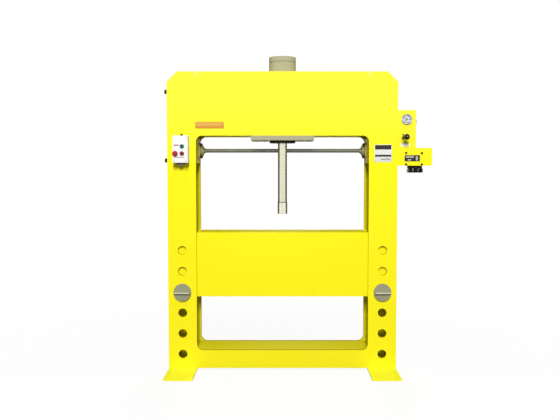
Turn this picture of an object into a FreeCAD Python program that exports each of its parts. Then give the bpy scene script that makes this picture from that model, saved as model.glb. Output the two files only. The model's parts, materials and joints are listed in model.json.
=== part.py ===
import FreeCAD, Part
import Sketcher
import math
import os
import re

# H-frame hydraulic shop press.
# Frame: X to the right seen from the front, Y to the back, Z up, millimetres.
# The origin is on the floor, under the axis of the ram, midway between the front and back plates.

V = FreeCAD.Vector

SIZES = [
    # frame
    ("frame_width", 1500, "outside of one column to the outside of the other"),
    ("frame_height", 1957, "top of the plates above the floor"),
    ("frame_depth", 262, "front face of the front plate to back face of the back plate"),
    ("plate_thickness", 20, "front and back plates"),
    ("column_width", 187, "width of each column"),
    ("beam_height", 414, "height of the upper beam"),
    ("base_height", 120, "height of the lower beam"),
    ("corner_cut", 66, "chamfer of the top corners"),
    ("opening_radius", 40, "inside corners of the opening"),
    ("side_thickness", 12, "outer walls of the columns"),
    ("web_thickness", 20, "plates that tie the front plate to the back plate"),
    ("base_web_inset", 40, "end of the base web inside the column's inner edge"),
    ("foot_thickness", 12, "foot plates"),
    ("foot_reach", 242, "foot plate in front of and behind the frame"),
    ("pin_hole_radius", 28.7, "pin holes in the columns"),
    ("first_hole_height", 94, "lowest pin hole above the plates' lower edge"),
    ("hole_pitch", 137.5, "from one pin hole to the next"),
    ("hole_count", 6, "pin holes in each column"),
    ("pin_hole_used", 3, "the hole, counted from 0 at the bottom, that the pins are in"),
    ("seat_gap", 0.3, "gap between round faces that seat on each other"),
    ("slide_gap", 0.05, "radial running clearance of turned fits"),
    # cylinder
    ("barrel_radius", 89, "outside of the barrel"),
    ("bore_radius", 76.2, "bore of the barrel"),
    ("barrel_hole_gap", 1.5, "barrel in the beam's floor and top plates"),
    ("barrel_rise", 106, "top of the cap above the frame"),
    ("cap_thickness", 36, "cap above the barrel"),
    ("cap_groove", 4, "spanner groove under the cap's rim"),
    ("mount_length", 412, "mount plate under the beam"),
    ("mount_thickness", 30, "mount plate"),
    ("gland_radius", 85.5, "gland ring"),
    ("gland_thickness", 15, "gland ring"),
    ("head_length", 40, "head bush in the lower end of the barrel"),
    ("seal_height", 10, "rod seal"),
    ("ram_radius", 30, "ram"),
    ("ram_bore_gap", 1, "ram in the mount plate and gland ring"),
    ("piston_length", 50, "piston"),
    ("piston_rest", 2, "piston above the head bush with the ram fully out"),
    ("piston_seal_height", 12, "ring in the piston's groove"),
    ("spigot_radius", 21, "ram's spigot in the piston"),
    ("nose_gap", 116.9, "nose of the ram above the bolster, fully out"),
    ("nose_length", 75, "ram nose"),
    ("nose_radius", 32.5, "ram nose"),
    # bolster
    ("bolster_height", 424, "bolster"),
    ("bolster_plate", 20, "its front and back plates"),
    ("bolster_side_gap", 4, "bolster to the frame plates"),
    ("bolster_end_gap", 7, "bolster to the columns' outer walls"),
    ("bed_thickness", 30, "bed plate on top"),
    ("bed_end_gap", 10, "end of the bed plate to the columns"),
    ("sole_thickness", 12, "plate at the bottom"),
    ("rib_thickness", 12, "upright ribs"),
    ("rib_place", 300, "rib from the middle"),
    ("saddle_wall", 16, "seat block over each pin, and the cheeks beside it"),
    ("cheek_gap", 1, "cheeks of the saddle to the pin"),
    ("saddle_drop", 32, "pin axis above the bolster's lower edge"),
    ("notch_gap", 9, "pin to the bolster's plates beside and above it"),
    # pins
    ("pin_radius", 27, "bolster pins"),
    ("pin_head_radius", 58, "round heads"),
    ("pin_head_thickness", 14, "round heads"),
    ("pin_head_gap", 2, "head in front of the front plate"),
    ("pin_tail", 14, "pin behind the back plate"),
    ("handle_length", 104, "flat bar on the head"),
    ("handle_height", 10, "flat bar on the head"),
    ("handle_reach", 24, "flat bar on the head"),
    ("handle_sink", 1, "flat bar let into the head"),
    # levelling shaft and chains
    ("shaft_radius", 12.7, "cross shaft"),
    ("shaft_drop", 94, "cross shaft below the beam"),
    ("shaft_back", 48, "cross shaft behind the ram's axis"),
    ("shaft_overrun", 2, "cross shaft beyond its sprockets"),
    ("bearing_plate_height", 170, "plates that carry the bearings"),
    ("bearing_plate_thickness", 12, "plates that carry the bearings"),
    ("flange_size", 104, "bearing flange"),
    ("flange_thickness", 12, "bearing flange"),
    ("bolt_spacing", 78, "bearing bolts"),
    ("flange_corner", 14, "cut corners of the bearing flange"),
    ("bearing_hub_radius", 34, "bearing hub"),
    ("bearing_hub_length", 18, "bearing hub in front of its flange"),
    ("bearing_seat_radius", 24, "bearing ring in its hub"),
    ("bearing_bolt_flats", 19, "bearing bolt heads across flats"),
    ("bearing_bolt_head", 8, "bearing bolt heads"),
    ("collar_length", 16, "tapered collars on the shaft"),
    ("chain_inset", 50, "chain to the column's outer face"),
    ("chain_pitch", 19.05, "roller chain"),
    ("roller_radius", 5.95, "roller chain"),
    ("roller_length", 12.6, "roller chain"),
    ("link_height", 18, "roller chain's side plates"),
    ("link_thickness", 3, "roller chain's side plates"),
    ("tooth_count", 12, "sprocket"),
    ("tooth_width", 11.4, "sprocket"),
    ("tooth_tip", 4.2, "tooth tip outside the pitch circle"),
    ("roller_gap", 0.3, "roller in its tooth space"),
    ("tooth_flare", 1.3, "mouth of a tooth space beside its root, as a share"),
    ("roller_start", 28.5, "first rollers of the straight runs below the cross shaft"),
    ("anchor_drop", 60, "chain anchors below the bolster's top"),
    ("anchor_thickness", 14, "chain anchors"),
    ("anchor_width", 44, "chain anchors"),
    ("anchor_slot_gap", 1, "chain in the anchor's slots"),
    ("chain_tail", 10, "chain below its anchor"),
    ("slack_length", 300, "hanging run of the chain below the cross shaft"),
    # side bolts and wiring duct
    ("side_bolt_flats", 24, "side bolt heads across flats"),
    ("side_bolt_head", 21, "side bolt heads with their washers"),
    ("side_bolt_upper", "=frame_height - 127", "upper side bolt above the floor"),
    ("side_bolt_lower", "=frame_height - beam_height - 161", "lower side bolt above the floor"),
    ("side_bolt_inset", 47, "side bolts behind the front face"),
    ("duct_width", 46, "wiring duct"),
    ("duct_depth", 36, "wiring duct"),
    ("duct_wall", 2, "wiring duct"),
    ("duct_overrun", 34, "wiring duct beyond its bolts"),
    # motor starter
    ("starter_width", 98, "starter"),
    ("starter_height", 174, "starter"),
    ("starter_depth", 86, "starter"),
    ("starter_base_depth", 28, "starter base"),
    ("starter_wall", 3, "starter's walls"),
    ("starter_inset", 47.5, "starter to the column's outer edge"),
    ("starter_bottom", "=frame_height - beam_height - 177", "starter above the floor"),
    ("button_radius", 12.5, "start and stop buttons"),
    ("button_proud", 6, "start and stop buttons in front of the cover"),
    ("mushroom_radius", 17.5, "mushroom button"),
    ("button_stem_radius", 8, "stems of the buttons"),
    ("button_travel", 4, "travel of the buttons"),
    ("button_gap", 0.4, "buttons in their holes"),
    ("button_depth", 11, "buttons behind the cover's face"),
    ("button_column", 12, "start and stop buttons right of the starter's middle"),
    ("start_height", 104.5, "start button above the starter's lower edge"),
    ("stop_height", 58.5, "stop button above the starter's lower edge"),
    ("mushroom_column", -31, "mushroom button from the starter's middle"),
    ("mushroom_height", 12, "mushroom button's cap"),
    ("mushroom_lift", 2, "mushroom button's cap in front of the cover when pressed"),
    ("contactor_width", 68, "contactor"),
    ("contactor_height", 90, "contactor"),
    ("contactor_depth", 51, "contactor"),
    ("contactor_rise", 40, "contactor above the starter's lower edge"),
    # control housing
    ("housing_width", 117, "upper part"),
    ("housing_bottom", "=frame_height - beam_height - 194.5", "control housing above the floor"),
    ("housing_split", "=housing_bottom + 114.5", "top of its wide lower part"),
    ("housing_top", "=housing_bottom + 359.5", "top of its upper part"),
    ("housing_wide", 224, "lower part"),
    ("housing_depth", 80, "control housing"),
    ("housing_wall", 3, "its sheet"),
    ("gauge_x", 56.5, "gauge from the column"),
    ("gauge_z", "=housing_bottom + 298.5", "gauge above the floor"),
    ("gauge_radius", 35, "gauge bezel"),
    ("gauge_body_radius", 31, "gauge body through the panel"),
    ("gauge_depth", 30, "gauge body behind the panel"),
    ("bezel_depth", 9, "gauge bezel in front of the panel"),
    ("gauge_wall", 3, "gauge case"),
    ("gauge_floor", 1.8, "floor of the gauge case in front of the panel"),
    ("lens_proud", 8, "front of the gauge glass in front of the panel"),
    ("lens_thickness", 2, "gauge glass"),
    ("dial_thickness", 1.5, "gauge dial"),
    ("needle_length", 23, "gauge needle"),
    ("needle_width", 4.4, "gauge needle's broad tail"),
    ("needle_thickness", 1, "gauge needle"),
    ("lever_x", 43, "lever spindle from the column"),
    ("lever_z", "=housing_bottom + 183.5", "lever above the floor"),
    ("lever_depth", 32, "lever spindle behind the front face"),
    ("spindle_radius", 8, "lever spindle"),
    ("lever_radius", 5, "lever rod"),
    ("lever_length", 118, "spindle axis to the middle of the knob"),
    ("knob_radius", 19.5, "ball knob"),
    ("lever_hub_radius", 14, "lever hub"),
    ("lever_hub_height", 24, "lever hub"),
    ("lever_slot_width", 76, "slot for the lever"),
    ("lever_slot_height", 16, "slot for the lever"),
    ("valve_left", 25, "valve from the column"),
    ("valve_width", 160, "valve body"),
    ("valve_height", 94, "valve body"),
    ("valve_depth", 74, "valve body"),
    ("valve_bolt_flats", 13, "valve bolt heads across flats"),
    ("valve_bolt_head", 6, "valve bolt heads"),
    ("valve_bolt_x", 105, "middle of the valve bolts from the column"),
    ("valve_bolt_z", "=housing_bottom + 45", "middle of the valve bolts above the floor"),
    ("valve_bolt_across", 102, "valve bolts across"),
    ("valve_bolt_up", 74, "valve bolts up"),
    ("port_block_left", 72, "port block from the column"),
    ("port_block_width", 91, "port block"),
    ("port_block_height", 22, "port block"),
    ("port_block_depth", 46, "port block"),
    ("elbow_first", 92, "first elbow from the column"),
    ("elbow_pitch", 34, "from one elbow to the next"),
    ("elbow_count", 3, "elbows under the port block"),
    ("elbow_radius", 10.5, "elbows under the port block"),
    ("elbow_drop", 16, "elbow's axis below the port block"),
    ("elbow_reach", 27, "elbow behind its own port"),
    # pipes
    ("pipe_radius", 6.35, "hydraulic pipes"),
    ("pipe_nut_radius", 11, "pipe nuts"),
    ("pipe_nut_length", 16, "pipe nuts"),
    ("corner_size", 24, "corner fittings of the pipes"),
    ("lane_gap", 38, "long pipes behind the back plate"),
    ("riser_gap", 22, "upright pipes behind the control housing"),
    ("riser_step", 26, "from one row of upright pipes to the next"),
    ("pressure_lane", "=frame_height - beam_height + 127", "pressure pipe above the floor"),
    ("return_lane", "=frame_height - beam_height + 97", "return pipe above the floor"),
    ("advance_lane", "=frame_height - beam_height + 157", "advance pipe above the floor"),
    ("retract_lane", "=frame_height - beam_height + 58", "retract pipe above the floor"),
    ("advance_port", "=frame_height + 38", "advance port above the floor"),
    ("advance_cross", "=housing_bottom + 81.5", "advance pipe's lower crossing above the floor"),
    ("advance_riser", 58, "advance pipe's riser from the column"),
    ("retract_riser", 41, "retract pipe from the column"),
    ("retract_start", "=housing_bottom + 51.5", "retract port above the floor"),
    ("pressure_rise", 48, "pressure pipe's rise left of the middle"),
    ("suction_radius", 13, "suction pipe"),
    ("gauge_pipe_radius", 4, "gauge pipe"),
    ("gauge_pipe_x", 75, "gauge pipe from the column"),
    ("gauge_pipe_depth", 19, "gauge pipe behind the front face"),
    ("gauge_pipe_length", 175, "gauge pipe"),
    # power unit
    ("unit_x", -330, "middle of the power unit"),
    ("shelf_z", "=frame_height - beam_height + 47", "top of the shelf above the floor"),
    ("shelf_width", 520, "shelf"),
    ("shelf_depth", 300, "shelf"),
    ("shelf_rise", 96, "its upright flange"),
    ("shelf_sheet", 6, "shelf"),
    ("shelf_lip", 14, "lips under the shelf's edges"),
    ("tank_width", 460, "reservoir"),
    ("tank_depth", 262, "reservoir"),
    ("tank_height", 190, "reservoir"),
    ("tank_wall", 3, "reservoir"),
    ("tank_gap", 26, "reservoir behind the back plate"),
    ("lid_thickness", 5, "reservoir lid"),
    ("lid_overhang", 8, "lid beyond the reservoir"),
    ("breather_radius", 24, "breather cap"),
    ("breather_height", 30, "breather cap"),
    ("breather_x", -500, "breather cap"),
    ("breather_inset", 34, "breather cap to the back of the lid"),
    ("motor_height", 92, "motor axis above the lid"),
    ("motor_radius", 70, "motor shell"),
    ("fin_height", 8, "cooling fins"),
    ("fin_count", 16, "cooling fins round the motor"),
    ("fin_thickness", 3, "cooling fins"),
    ("fin_root", 2, "cooling fins let into the shell"),
    ("motor_length", 190, "finned shell"),
    ("shield_length", 14, "motor end shields"),
    ("motor_base_length", 120, "motor's foot block"),
    ("motor_base_width", 124, "motor's foot block"),
    ("motor_base_height", 16, "motor's foot block"),
    ("motor_neck_width", 84, "neck between the foot block and the shell"),
    ("motor_neck_root", 12, "neck let into the shell"),
    ("terminal_size", 84, "terminal box"),
    ("terminal_height", 106, "top of the terminal box above the motor axis"),
    ("terminal_foot", 56, "bottom of the terminal box above the motor axis"),
    ("cowl_length", 52, "fan cowl"),
    ("cowl_wall", 2, "fan cowl"),
    ("cowl_overlap", 10, "fan cowl over the end shield"),
    ("rotor_shaft", 11, "motor shaft"),
    ("rotor_tail", 38, "motor shaft in the cowl"),
    ("rotor_nose", 58, "motor shaft in the bell housing"),
    ("fan_radius", 60, "fan"),
    ("fan_blades", 6, "fan"),
    ("fan_length", 24, "fan"),
    ("fan_inset", 4, "fan from the end of its shaft"),
    ("blade_thickness", 3, "fan blades"),
    ("coupling_radius", 26, "coupling"),
    ("coupling_gap", 12, "coupling from the end shield"),
    ("bell_length", 70, "bell housing"),
    ("bell_radius", 62, "bell housing"),
    ("bell_wall", 8, "bell housing"),
    ("bell_window", 44, "window in the bell housing"),
    ("pump_length", 96, "pump"),
    ("pump_width", 84, "pump"),
    ("pump_height", 100, "pump"),
]

doc = FreeCAD.newDocument("ShopPress")
sheet = doc.addObject("Spreadsheet::Sheet", "Sizes")
for row, (alias, number, meaning) in enumerate(SIZES, start=1):
    sheet.set("A%d" % row, alias)
    sheet.set("B%d" % row, str(number))
    sheet.setAlias("B%d" % row, alias)
    sheet.set("C%d" % row, meaning)
doc.recompute()

VALUE = {alias: number for alias, number, meaning in SIZES}
pieces = []
cuts = []

# Places that several pieces share, written with the names of the sizes.
HALF_WIDTH = "(frame_width / 2)"
HALF_DEPTH = "(frame_depth / 2)"
INSIDE_DEPTH = "(frame_depth - 2 * plate_thickness)"
COLUMN_INSIDE = "(frame_width / 2 - column_width)"
COLUMN_MIDDLE = "(frame_width / 2 - column_width / 2)"
BASE_TOP = "(foot_thickness + base_height)"
BEAM_UNDERSIDE = "(frame_height - beam_height)"
USED_HOLE_Z = "(foot_thickness + first_hole_height + pin_hole_used * hole_pitch)"
PIN_Z = f"({USED_HOLE_Z} - pin_hole_radius + pin_radius + seat_gap)"
BOLSTER_BOTTOM = f"({PIN_Z} - saddle_drop)"
BOLSTER_TOP = f"({BOLSTER_BOTTOM} + bolster_height)"
BOLSTER_DEPTH = f"({INSIDE_DEPTH} - 2 * bolster_side_gap)"
BOLSTER_INSIDE = f"({BOLSTER_DEPTH} - 2 * bolster_plate)"
BOLSTER_HALF = "(frame_width / 2 - side_thickness - bolster_end_gap)"
CAP_TOP = "(frame_height + barrel_rise)"
BARREL_TOP = f"({CAP_TOP} - cap_thickness)"
MOUNT_BOTTOM = f"({BEAM_UNDERSIDE} - mount_thickness)"
GLAND_BOTTOM = f"({MOUNT_BOTTOM} - gland_thickness)"
NOSE_TIP = f"({BOLSTER_TOP} + nose_gap)"
NOSE_TOP = f"({NOSE_TIP} + nose_length)"
HEAD_TOP = f"({BEAM_UNDERSIDE} + head_length)"
PISTON_BOTTOM = f"({HEAD_TOP} + piston_rest)"
PISTON_TOP = f"({PISTON_BOTTOM} + piston_length)"
SHAFT_Z = f"({BEAM_UNDERSIDE} - shaft_drop)"
CHAIN_X = "(frame_width / 2 - chain_inset)"
BEARING_FACE = f"({COLUMN_INSIDE} - flange_thickness)"
STARTER_X = "(-frame_width / 2 + starter_inset)"
STARTER_MIDDLE = f"({STARTER_X} + starter_width / 2)"
STARTER_FRONT = f"(-{HALF_DEPTH} - starter_depth)"
HOUSING_BACK = f"(-{HALF_DEPTH} + housing_depth)"
GAUGE_X = f"({HALF_WIDTH} + gauge_x)"
LEVER_X = f"({HALF_WIDTH} + lever_x)"
LEVER_Y = f"(-{HALF_DEPTH} + lever_depth)"
VALVE_FRONT = f"(-{HALF_DEPTH} + housing_wall)"
VALVE_BOTTOM = "(housing_bottom + housing_wall)"
VALVE_TOP = f"({VALVE_BOTTOM} + valve_height)"
PORT_BOTTOM = f"({VALVE_BOTTOM} - port_block_height)"
ELBOW_Y = f"({VALVE_FRONT} + valve_depth / 2)"
ELBOW_Z = f"({PORT_BOTTOM} - elbow_drop)"
TANK_FRONT = f"({HALF_DEPTH} + tank_gap)"
TANK_Y = f"({TANK_FRONT} + tank_depth / 2)"
TANK_TOP = "(shelf_z + tank_height)"
LID_TOP = f"({TANK_TOP} + lid_thickness)"
MOTOR_Z = f"({LID_TOP} + motor_height)"
MOTOR_LEFT = "(unit_x - tank_width / 2 + cowl_length + shield_length)"
SHIELD_LEFT = f"({MOTOR_LEFT} - shield_length)"
MOTOR_SPAN = "(motor_length + 2 * shield_length)"
BELL_LEFT = f"({MOTOR_LEFT} + motor_length + shield_length)"
PUMP_LEFT = f"({BELL_LEFT} + bell_length)"
PUMP_X = f"({PUMP_LEFT} + pump_length / 2)"
LANE_Y = f"({HALF_DEPTH} + lane_gap)"
RISER_Y = f"({HOUSING_BACK} + riser_gap)"
LOAD_Y = "(shaft_back - chain_pitch / 2 / sin(180deg / tooth_count))"
PITCH_RADIUS = "(chain_pitch / 2 / sin(180deg / tooth_count))"


def formula(text):
    """The text with every size name pointed at its cell in the sheet."""
    def named(word):
        return ("Sizes." if word.group() in VALUE else "") + word.group()

    return re.sub(r"[a-z][a-z0-9_]*", named, str(text))


def bind(item, **properties):
    for name, text in properties.items():
        item.setExpression(name, formula(text))
    return item


TURNS = {
    "z": FreeCAD.Rotation(),
    "x": FreeCAD.Rotation(V(0, 1, 0), 90),
    "-x": FreeCAD.Rotation(V(0, 1, 0), -90),
    "y": FreeCAD.Rotation(V(1, 0, 0), -90),
    "-y": FreeCAD.Rotation(V(1, 0, 0), 90),
    "-z": FreeCAD.Rotation(V(1, 0, 0), 180),
}


def place(item, x=0, y=0, z=0, turn="z"):
    """Stand an item at a point, with its own Z axis turned along the named direction."""
    item.Placement = FreeCAD.Placement(V(), TURNS[turn])
    for axis, text in zip("xyz", (x, y, z)):
        item.setExpression("Placement.Base." + axis, formula(text))
    return item


def piece(item, label):
    """Keep a finished sub-part under the name of its file."""
    item.Label = label
    pieces.append(item)
    return item


def box(x, y, z, length, width, height):
    item = bind(doc.addObject("Part::Box", "block"), Length=length, Width=width, Height=height)
    return place(item, x, y, z)


def cylinder(radius, height, x=0, y=0, z=0, turn="z"):
    item = bind(doc.addObject("Part::Cylinder", "round"), Radius=radius, Height=height)
    return place(item, x, y, z, turn)


def prism(sides, across_flats, height, x=0, y=0, z=0, turn="z"):
    item = doc.addObject("Part::Prism", "prism")
    item.Polygon = sides
    bind(item, Circumradius=f"({across_flats}) / 2 / cos(180deg / {sides})", Height=height)
    return place(item, x, y, z, turn)


def group(items):
    item = doc.addObject("Part::Compound", "group")
    item.Links = list(items)
    return item


def fuse(*items):
    item = doc.addObject("Part::MultiFuse", "joined")
    item.Shapes = list(items)
    item.Refine = True
    return item


def cut(base, *tools):
    item = doc.addObject("Part::Cut", "cut")
    item.Base = base
    item.Tool = tools[0] if len(tools) == 1 else group(tools)
    item.Refine = True
    cuts.append((item, base))
    return item


def side_low(sign, near, far):
    """Low X of a block between two distances from the middle, on the left (-1) or right (1)."""
    return f"({near})" if sign > 0 else f"(-({far}))"


def side_name(sign):
    return "right" if sign > 0 else "left"


def new_body(label):
    return piece(doc.addObject("PartDesign::Body", label), label)


def sketch(body, role, offset="0"):
    """A sketch on one of the body's own origin planes, moved along its normal."""
    item = body.newObject("Sketcher::SketchObject", "sketch")
    plane = [feature for feature in body.Origin.OriginFeatures if feature.Role == role][0]
    item.AttachmentSupport = [(plane, "")]
    item.MapMode = "FlatFace"
    item.setExpression("AttachmentOffset.Base.z", formula(offset))
    return item


def pull(drawing, kind, first, first_point, second, second_point, start, text):
    index = drawing.addConstraint(Sketcher.Constraint(kind, first, first_point, second, second_point, start))
    drawing.setExpression("Constraints[%d]" % index, formula(text))


def outline(drawing, corners):
    """A closed outline. It starts as a regular polygon, and the sizes pull each corner to its place."""
    rough_radius = 100.0
    count = len(corners)
    rough = []
    for number in range(count):
        angle = 2 * math.pi * number / count
        rough.append(V(rough_radius * math.cos(angle), rough_radius * math.sin(angle), 0))
    first = drawing.GeometryCount
    for number in range(count):
        drawing.addGeometry(Part.LineSegment(rough[number], rough[(number + 1) % count]), False)
    for number in range(count):
        following = first + (number + 1) % count
        drawing.addConstraint(Sketcher.Constraint("Coincident", first + number, 2, following, 1))
    for number, (across, up) in enumerate(corners):
        pull(drawing, "DistanceX", -1, 1, first + number, 1, rough[number].x, across)
        pull(drawing, "DistanceY", -1, 1, first + number, 1, rough[number].y, up)
    return drawing


def circle(drawing, radius, across="0", up="0"):
    rough_radius = 10.0
    rough = Part.Circle(V(rough_radius, rough_radius, 0), V(0, 0, 1), rough_radius)
    number = drawing.addGeometry(rough, False)
    index = drawing.addConstraint(Sketcher.Constraint("Radius", number, rough_radius))
    drawing.setExpression("Constraints[%d]" % index, formula(radius))
    pull(drawing, "DistanceX", -1, 1, number, 3, rough_radius, across)
    pull(drawing, "DistanceY", -1, 1, number, 3, rough_radius, up)
    return drawing


def pad(body, drawing, length):
    item = body.newObject("PartDesign::Pad", "pad")
    item.Profile = drawing
    return bind(item, Length=length)


def pocket(body, drawing, length=None, reverse=False):
    before = body.Tip
    item = body.newObject("PartDesign::Pocket", "pocket")
    item.Profile = drawing
    item.Reversed = reverse
    if length is None:
        item.Type = "ThroughAll"
    else:
        bind(item, Length=length)
    cuts.append((item, before))
    return item


def polar(body, feature, axis_drawing, count):
    """Repeat a feature round the normal of the drawing that it stands on."""
    item = body.newObject("PartDesign::PolarPattern", "pattern")
    item.Originals = [feature]
    item.Axis = (axis_drawing, ["N_Axis"])
    item.Angle = 360
    bind(item, Occurrences=count)
    body.Tip = item
    return item


def revolve(body, profile):
    """Corners as (radius, height), turned round the body's own Z axis."""
    drawing = outline(sketch(body, "XZ_Plane"), profile)
    item = body.newObject("PartDesign::Revolution", "revolution")
    item.Profile = drawing
    item.ReferenceAxis = (drawing, ["V_Axis"])
    item.Angle = 360
    return item


def turned(label, profile, x=0, y=0, z=0, turn="z"):
    """A turned sub-part."""
    body = new_body(label)
    revolve(body, profile)
    return place(body, x, y, z, turn)


def dress(body, size, test, kind="Fillet", size_name="Radius"):
    """Round or chamfer the edges of the body's last feature whose two ends pass a test."""
    doc.recompute()
    base = body.Tip
    names = []
    for number, edge in enumerate(base.Shape.Edges, start=1):
        ends = [vertex.Point for vertex in edge.Vertexes]
        if len(ends) == 2 and test(*ends):
            names.append("Edge%d" % number)
    item = body.newObject("PartDesign::" + kind, "dressing")
    item.Base = (base, names)
    bind(item, **{size_name: size})
    body.Tip = item
    return item


# ---------------------------------------------------------------- frame

def frame_plate(label, back_face):
    """Front or back plate: one piece with cut top corners, the opening and the pin holes."""
    body = new_body(label)
    corners = [
        (f"-{HALF_WIDTH}", "foot_thickness"),
        (HALF_WIDTH, "foot_thickness"),
        (HALF_WIDTH, "frame_height - corner_cut"),
        (f"{HALF_WIDTH} - corner_cut", "frame_height"),
        (f"-{HALF_WIDTH} + corner_cut", "frame_height"),
        (f"-{HALF_WIDTH}", "frame_height - corner_cut"),
    ]
    pad(body, outline(sketch(body, "XZ_Plane"), corners), "plate_thickness")
    opening = [
        (f"-{COLUMN_INSIDE}", BASE_TOP),
        (COLUMN_INSIDE, BASE_TOP),
        (COLUMN_INSIDE, BEAM_UNDERSIDE),
        (f"-{COLUMN_INSIDE}", BEAM_UNDERSIDE),
    ]
    pocket(body, outline(sketch(body, "XZ_Plane"), opening), reverse=True)
    side_line = VALUE["frame_width"] / 2 - VALUE["column_width"]
    through = VALUE["plate_thickness"]

    def opening_corner(low, high):
        return abs(abs(low.x) - side_line) < 1 and abs(abs(low.y - high.y) - through) < 1

    dress(body, "opening_radius", opening_corner)
    holes = sketch(body, "XZ_Plane")
    for sign in (-1, 1):
        for hole in range(int(VALUE["hole_count"])):
            height = f"foot_thickness + first_hole_height + {hole} * hole_pitch"
            circle(holes, "pin_hole_radius", f"{sign} * {COLUMN_MIDDLE}", height)
    pocket(body, holes, reverse=True)
    place(body, 0, back_face, 0)


frame_plate("front_plate", f"-{HALF_DEPTH} + plate_thickness")
frame_plate("back_plate", HALF_DEPTH)

SIDE_BOLT_Y = f"(-{HALF_DEPTH} + side_bolt_inset)"
TOP_HALF = f"({HALF_WIDTH} - corner_cut)"
SLOPE_DEPTH = "(side_thickness * sqrt(2))"
TOP_UNDERSIDE = "(frame_height - side_thickness)"
BARREL_HOLE = "barrel_radius + barrel_hole_gap"

for sign in (-1, 1):
    piece(box(side_low(sign, f"{HALF_WIDTH} - side_thickness", HALF_WIDTH), f"-{INSIDE_DEPTH} / 2",
              "foot_thickness", "side_thickness", INSIDE_DEPTH,
              "frame_height - corner_cut - foot_thickness"), f"{side_name(sign)}_side_plate")
    piece(box(side_low(sign, COLUMN_INSIDE, HALF_WIDTH), f"-{HALF_DEPTH} - foot_reach", 0,
              "column_width", "frame_depth + 2 * foot_reach", "foot_thickness"), f"{side_name(sign)}_foot")

# The top plate is one sheet, folded down over the two cut corners.
folded = new_body("top_plate")
pad(folded, outline(sketch(folded, "XZ_Plane"), [
    (f"-{HALF_WIDTH}", "frame_height - corner_cut"),
    (f"-{HALF_WIDTH} + {SLOPE_DEPTH}", "frame_height - corner_cut"),
    (f"-{TOP_HALF} + {SLOPE_DEPTH} / 4", TOP_UNDERSIDE),
    (f"{TOP_HALF} - {SLOPE_DEPTH} / 4", TOP_UNDERSIDE),
    (f"{HALF_WIDTH} - {SLOPE_DEPTH}", "frame_height - corner_cut"),
    (HALF_WIDTH, "frame_height - corner_cut"),
    (TOP_HALF, "frame_height"),
    (f"-{TOP_HALF}", "frame_height"),
]), INSIDE_DEPTH)
barrel_hole = circle(sketch(folded, "XY_Plane", "frame_height + side_thickness"), BARREL_HOLE, 0,
                     f"-{INSIDE_DEPTH} / 2")
pocket(folded, barrel_hole, "3 * side_thickness")
place(folded, 0, f"{INSIDE_DEPTH} / 2", 0)

FLOOR_HALF = f"({COLUMN_INSIDE} - opening_radius)"
floor_sheet = box(f"-{FLOOR_HALF}", f"-{INSIDE_DEPTH} / 2", BEAM_UNDERSIDE,
                  f"2 * {FLOOR_HALF}", INSIDE_DEPTH, "web_thickness")
floor_hole = prism(8, f"2 * ({BARREL_HOLE})", "3 * web_thickness", 0, 0, f"{BEAM_UNDERSIDE} - web_thickness")
piece(cut(floor_sheet, floor_hole), "beam_floor")
BASE_HALF = f"({COLUMN_INSIDE} + base_web_inset)"
piece(box(f"-{BASE_HALF}", f"-{INSIDE_DEPTH} / 2", f"{BASE_TOP} - web_thickness",
          f"2 * {BASE_HALF}", INSIDE_DEPTH, "web_thickness"), "base_web")

bearing_plates = []
for sign in (-1, 1):
    bearing_plate = box(side_low(sign, COLUMN_INSIDE, f"{COLUMN_INSIDE} + bearing_plate_thickness"),
                        f"-{INSIDE_DEPTH} / 2", f"{SHAFT_Z} - bearing_plate_height / 2",
                        "bearing_plate_thickness", INSIDE_DEPTH, "bearing_plate_height")
    shaft_hole = prism(8, "4 * shaft_radius", "4 * bearing_plate_thickness",
                       f"{sign} * {COLUMN_INSIDE} - 2 * bearing_plate_thickness", "shaft_back", SHAFT_Z, "x")
    bearing_plates.append(cut(bearing_plate, shaft_hole))
piece(group(bearing_plates), "bearing_plates")

# ---------------------------------------------------------------- cylinder

turned("cylinder_barrel", [
    ("bore_radius", BEAM_UNDERSIDE),
    ("barrel_radius", BEAM_UNDERSIDE),
    ("barrel_radius", BARREL_TOP),
    ("bore_radius", BARREL_TOP),
])
turned("cylinder_cap", [
    (0, BARREL_TOP),
    ("barrel_radius - cap_groove", BARREL_TOP),
    ("barrel_radius - cap_groove", f"{BARREL_TOP} + cap_groove"),
    ("barrel_radius", f"{BARREL_TOP} + cap_groove"),
    ("barrel_radius", CAP_TOP),
    (0, CAP_TOP),
])

mount_sheet = box("-mount_length / 2", f"-{HALF_DEPTH}", MOUNT_BOTTOM,
                  "mount_length", "frame_depth", "mount_thickness")
ram_hole = prism(8, "2 * ram_radius + 2 * ram_bore_gap", "3 * mount_thickness", 0, 0,
                 f"{MOUNT_BOTTOM} - mount_thickness")
piece(cut(mount_sheet, ram_hole), "mount_plate")


def ring(label, inner, outer, bottom, top):
    turned(label, [(inner, bottom), (outer, bottom), (outer, top), (inner, top)])


HIDDEN_SIDES = 24


def hidden_ring(label, inner, outer, bottom, top):
    """A ring that stays out of sight. It has flats in place of its curves, to keep its facets few."""
    height = f"({top} - {bottom})"
    flats = f"2 * ({outer}) * cos(180deg / {HIDDEN_SIDES})"
    bore = prism(HIDDEN_SIDES, f"2 * ({inner})", f"3 * {height}", 0, 0, f"{bottom} - {height}")
    piece(cut(prism(HIDDEN_SIDES, flats, height, 0, 0, bottom), bore), label)


SEAL_TOP = f"({BEAM_UNDERSIDE} + seal_height)"
ring("gland_ring", "ram_radius + ram_bore_gap", "gland_radius", GLAND_BOTTOM, MOUNT_BOTTOM)
hidden_ring("rod_seal", "ram_radius + slide_gap", "bore_radius - seat_gap", BEAM_UNDERSIDE, SEAL_TOP)
hidden_ring("head_bush", "ram_radius + slide_gap", "bore_radius - seat_gap", SEAL_TOP, HEAD_TOP)

# ---------------------------------------------------------------- ram

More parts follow.
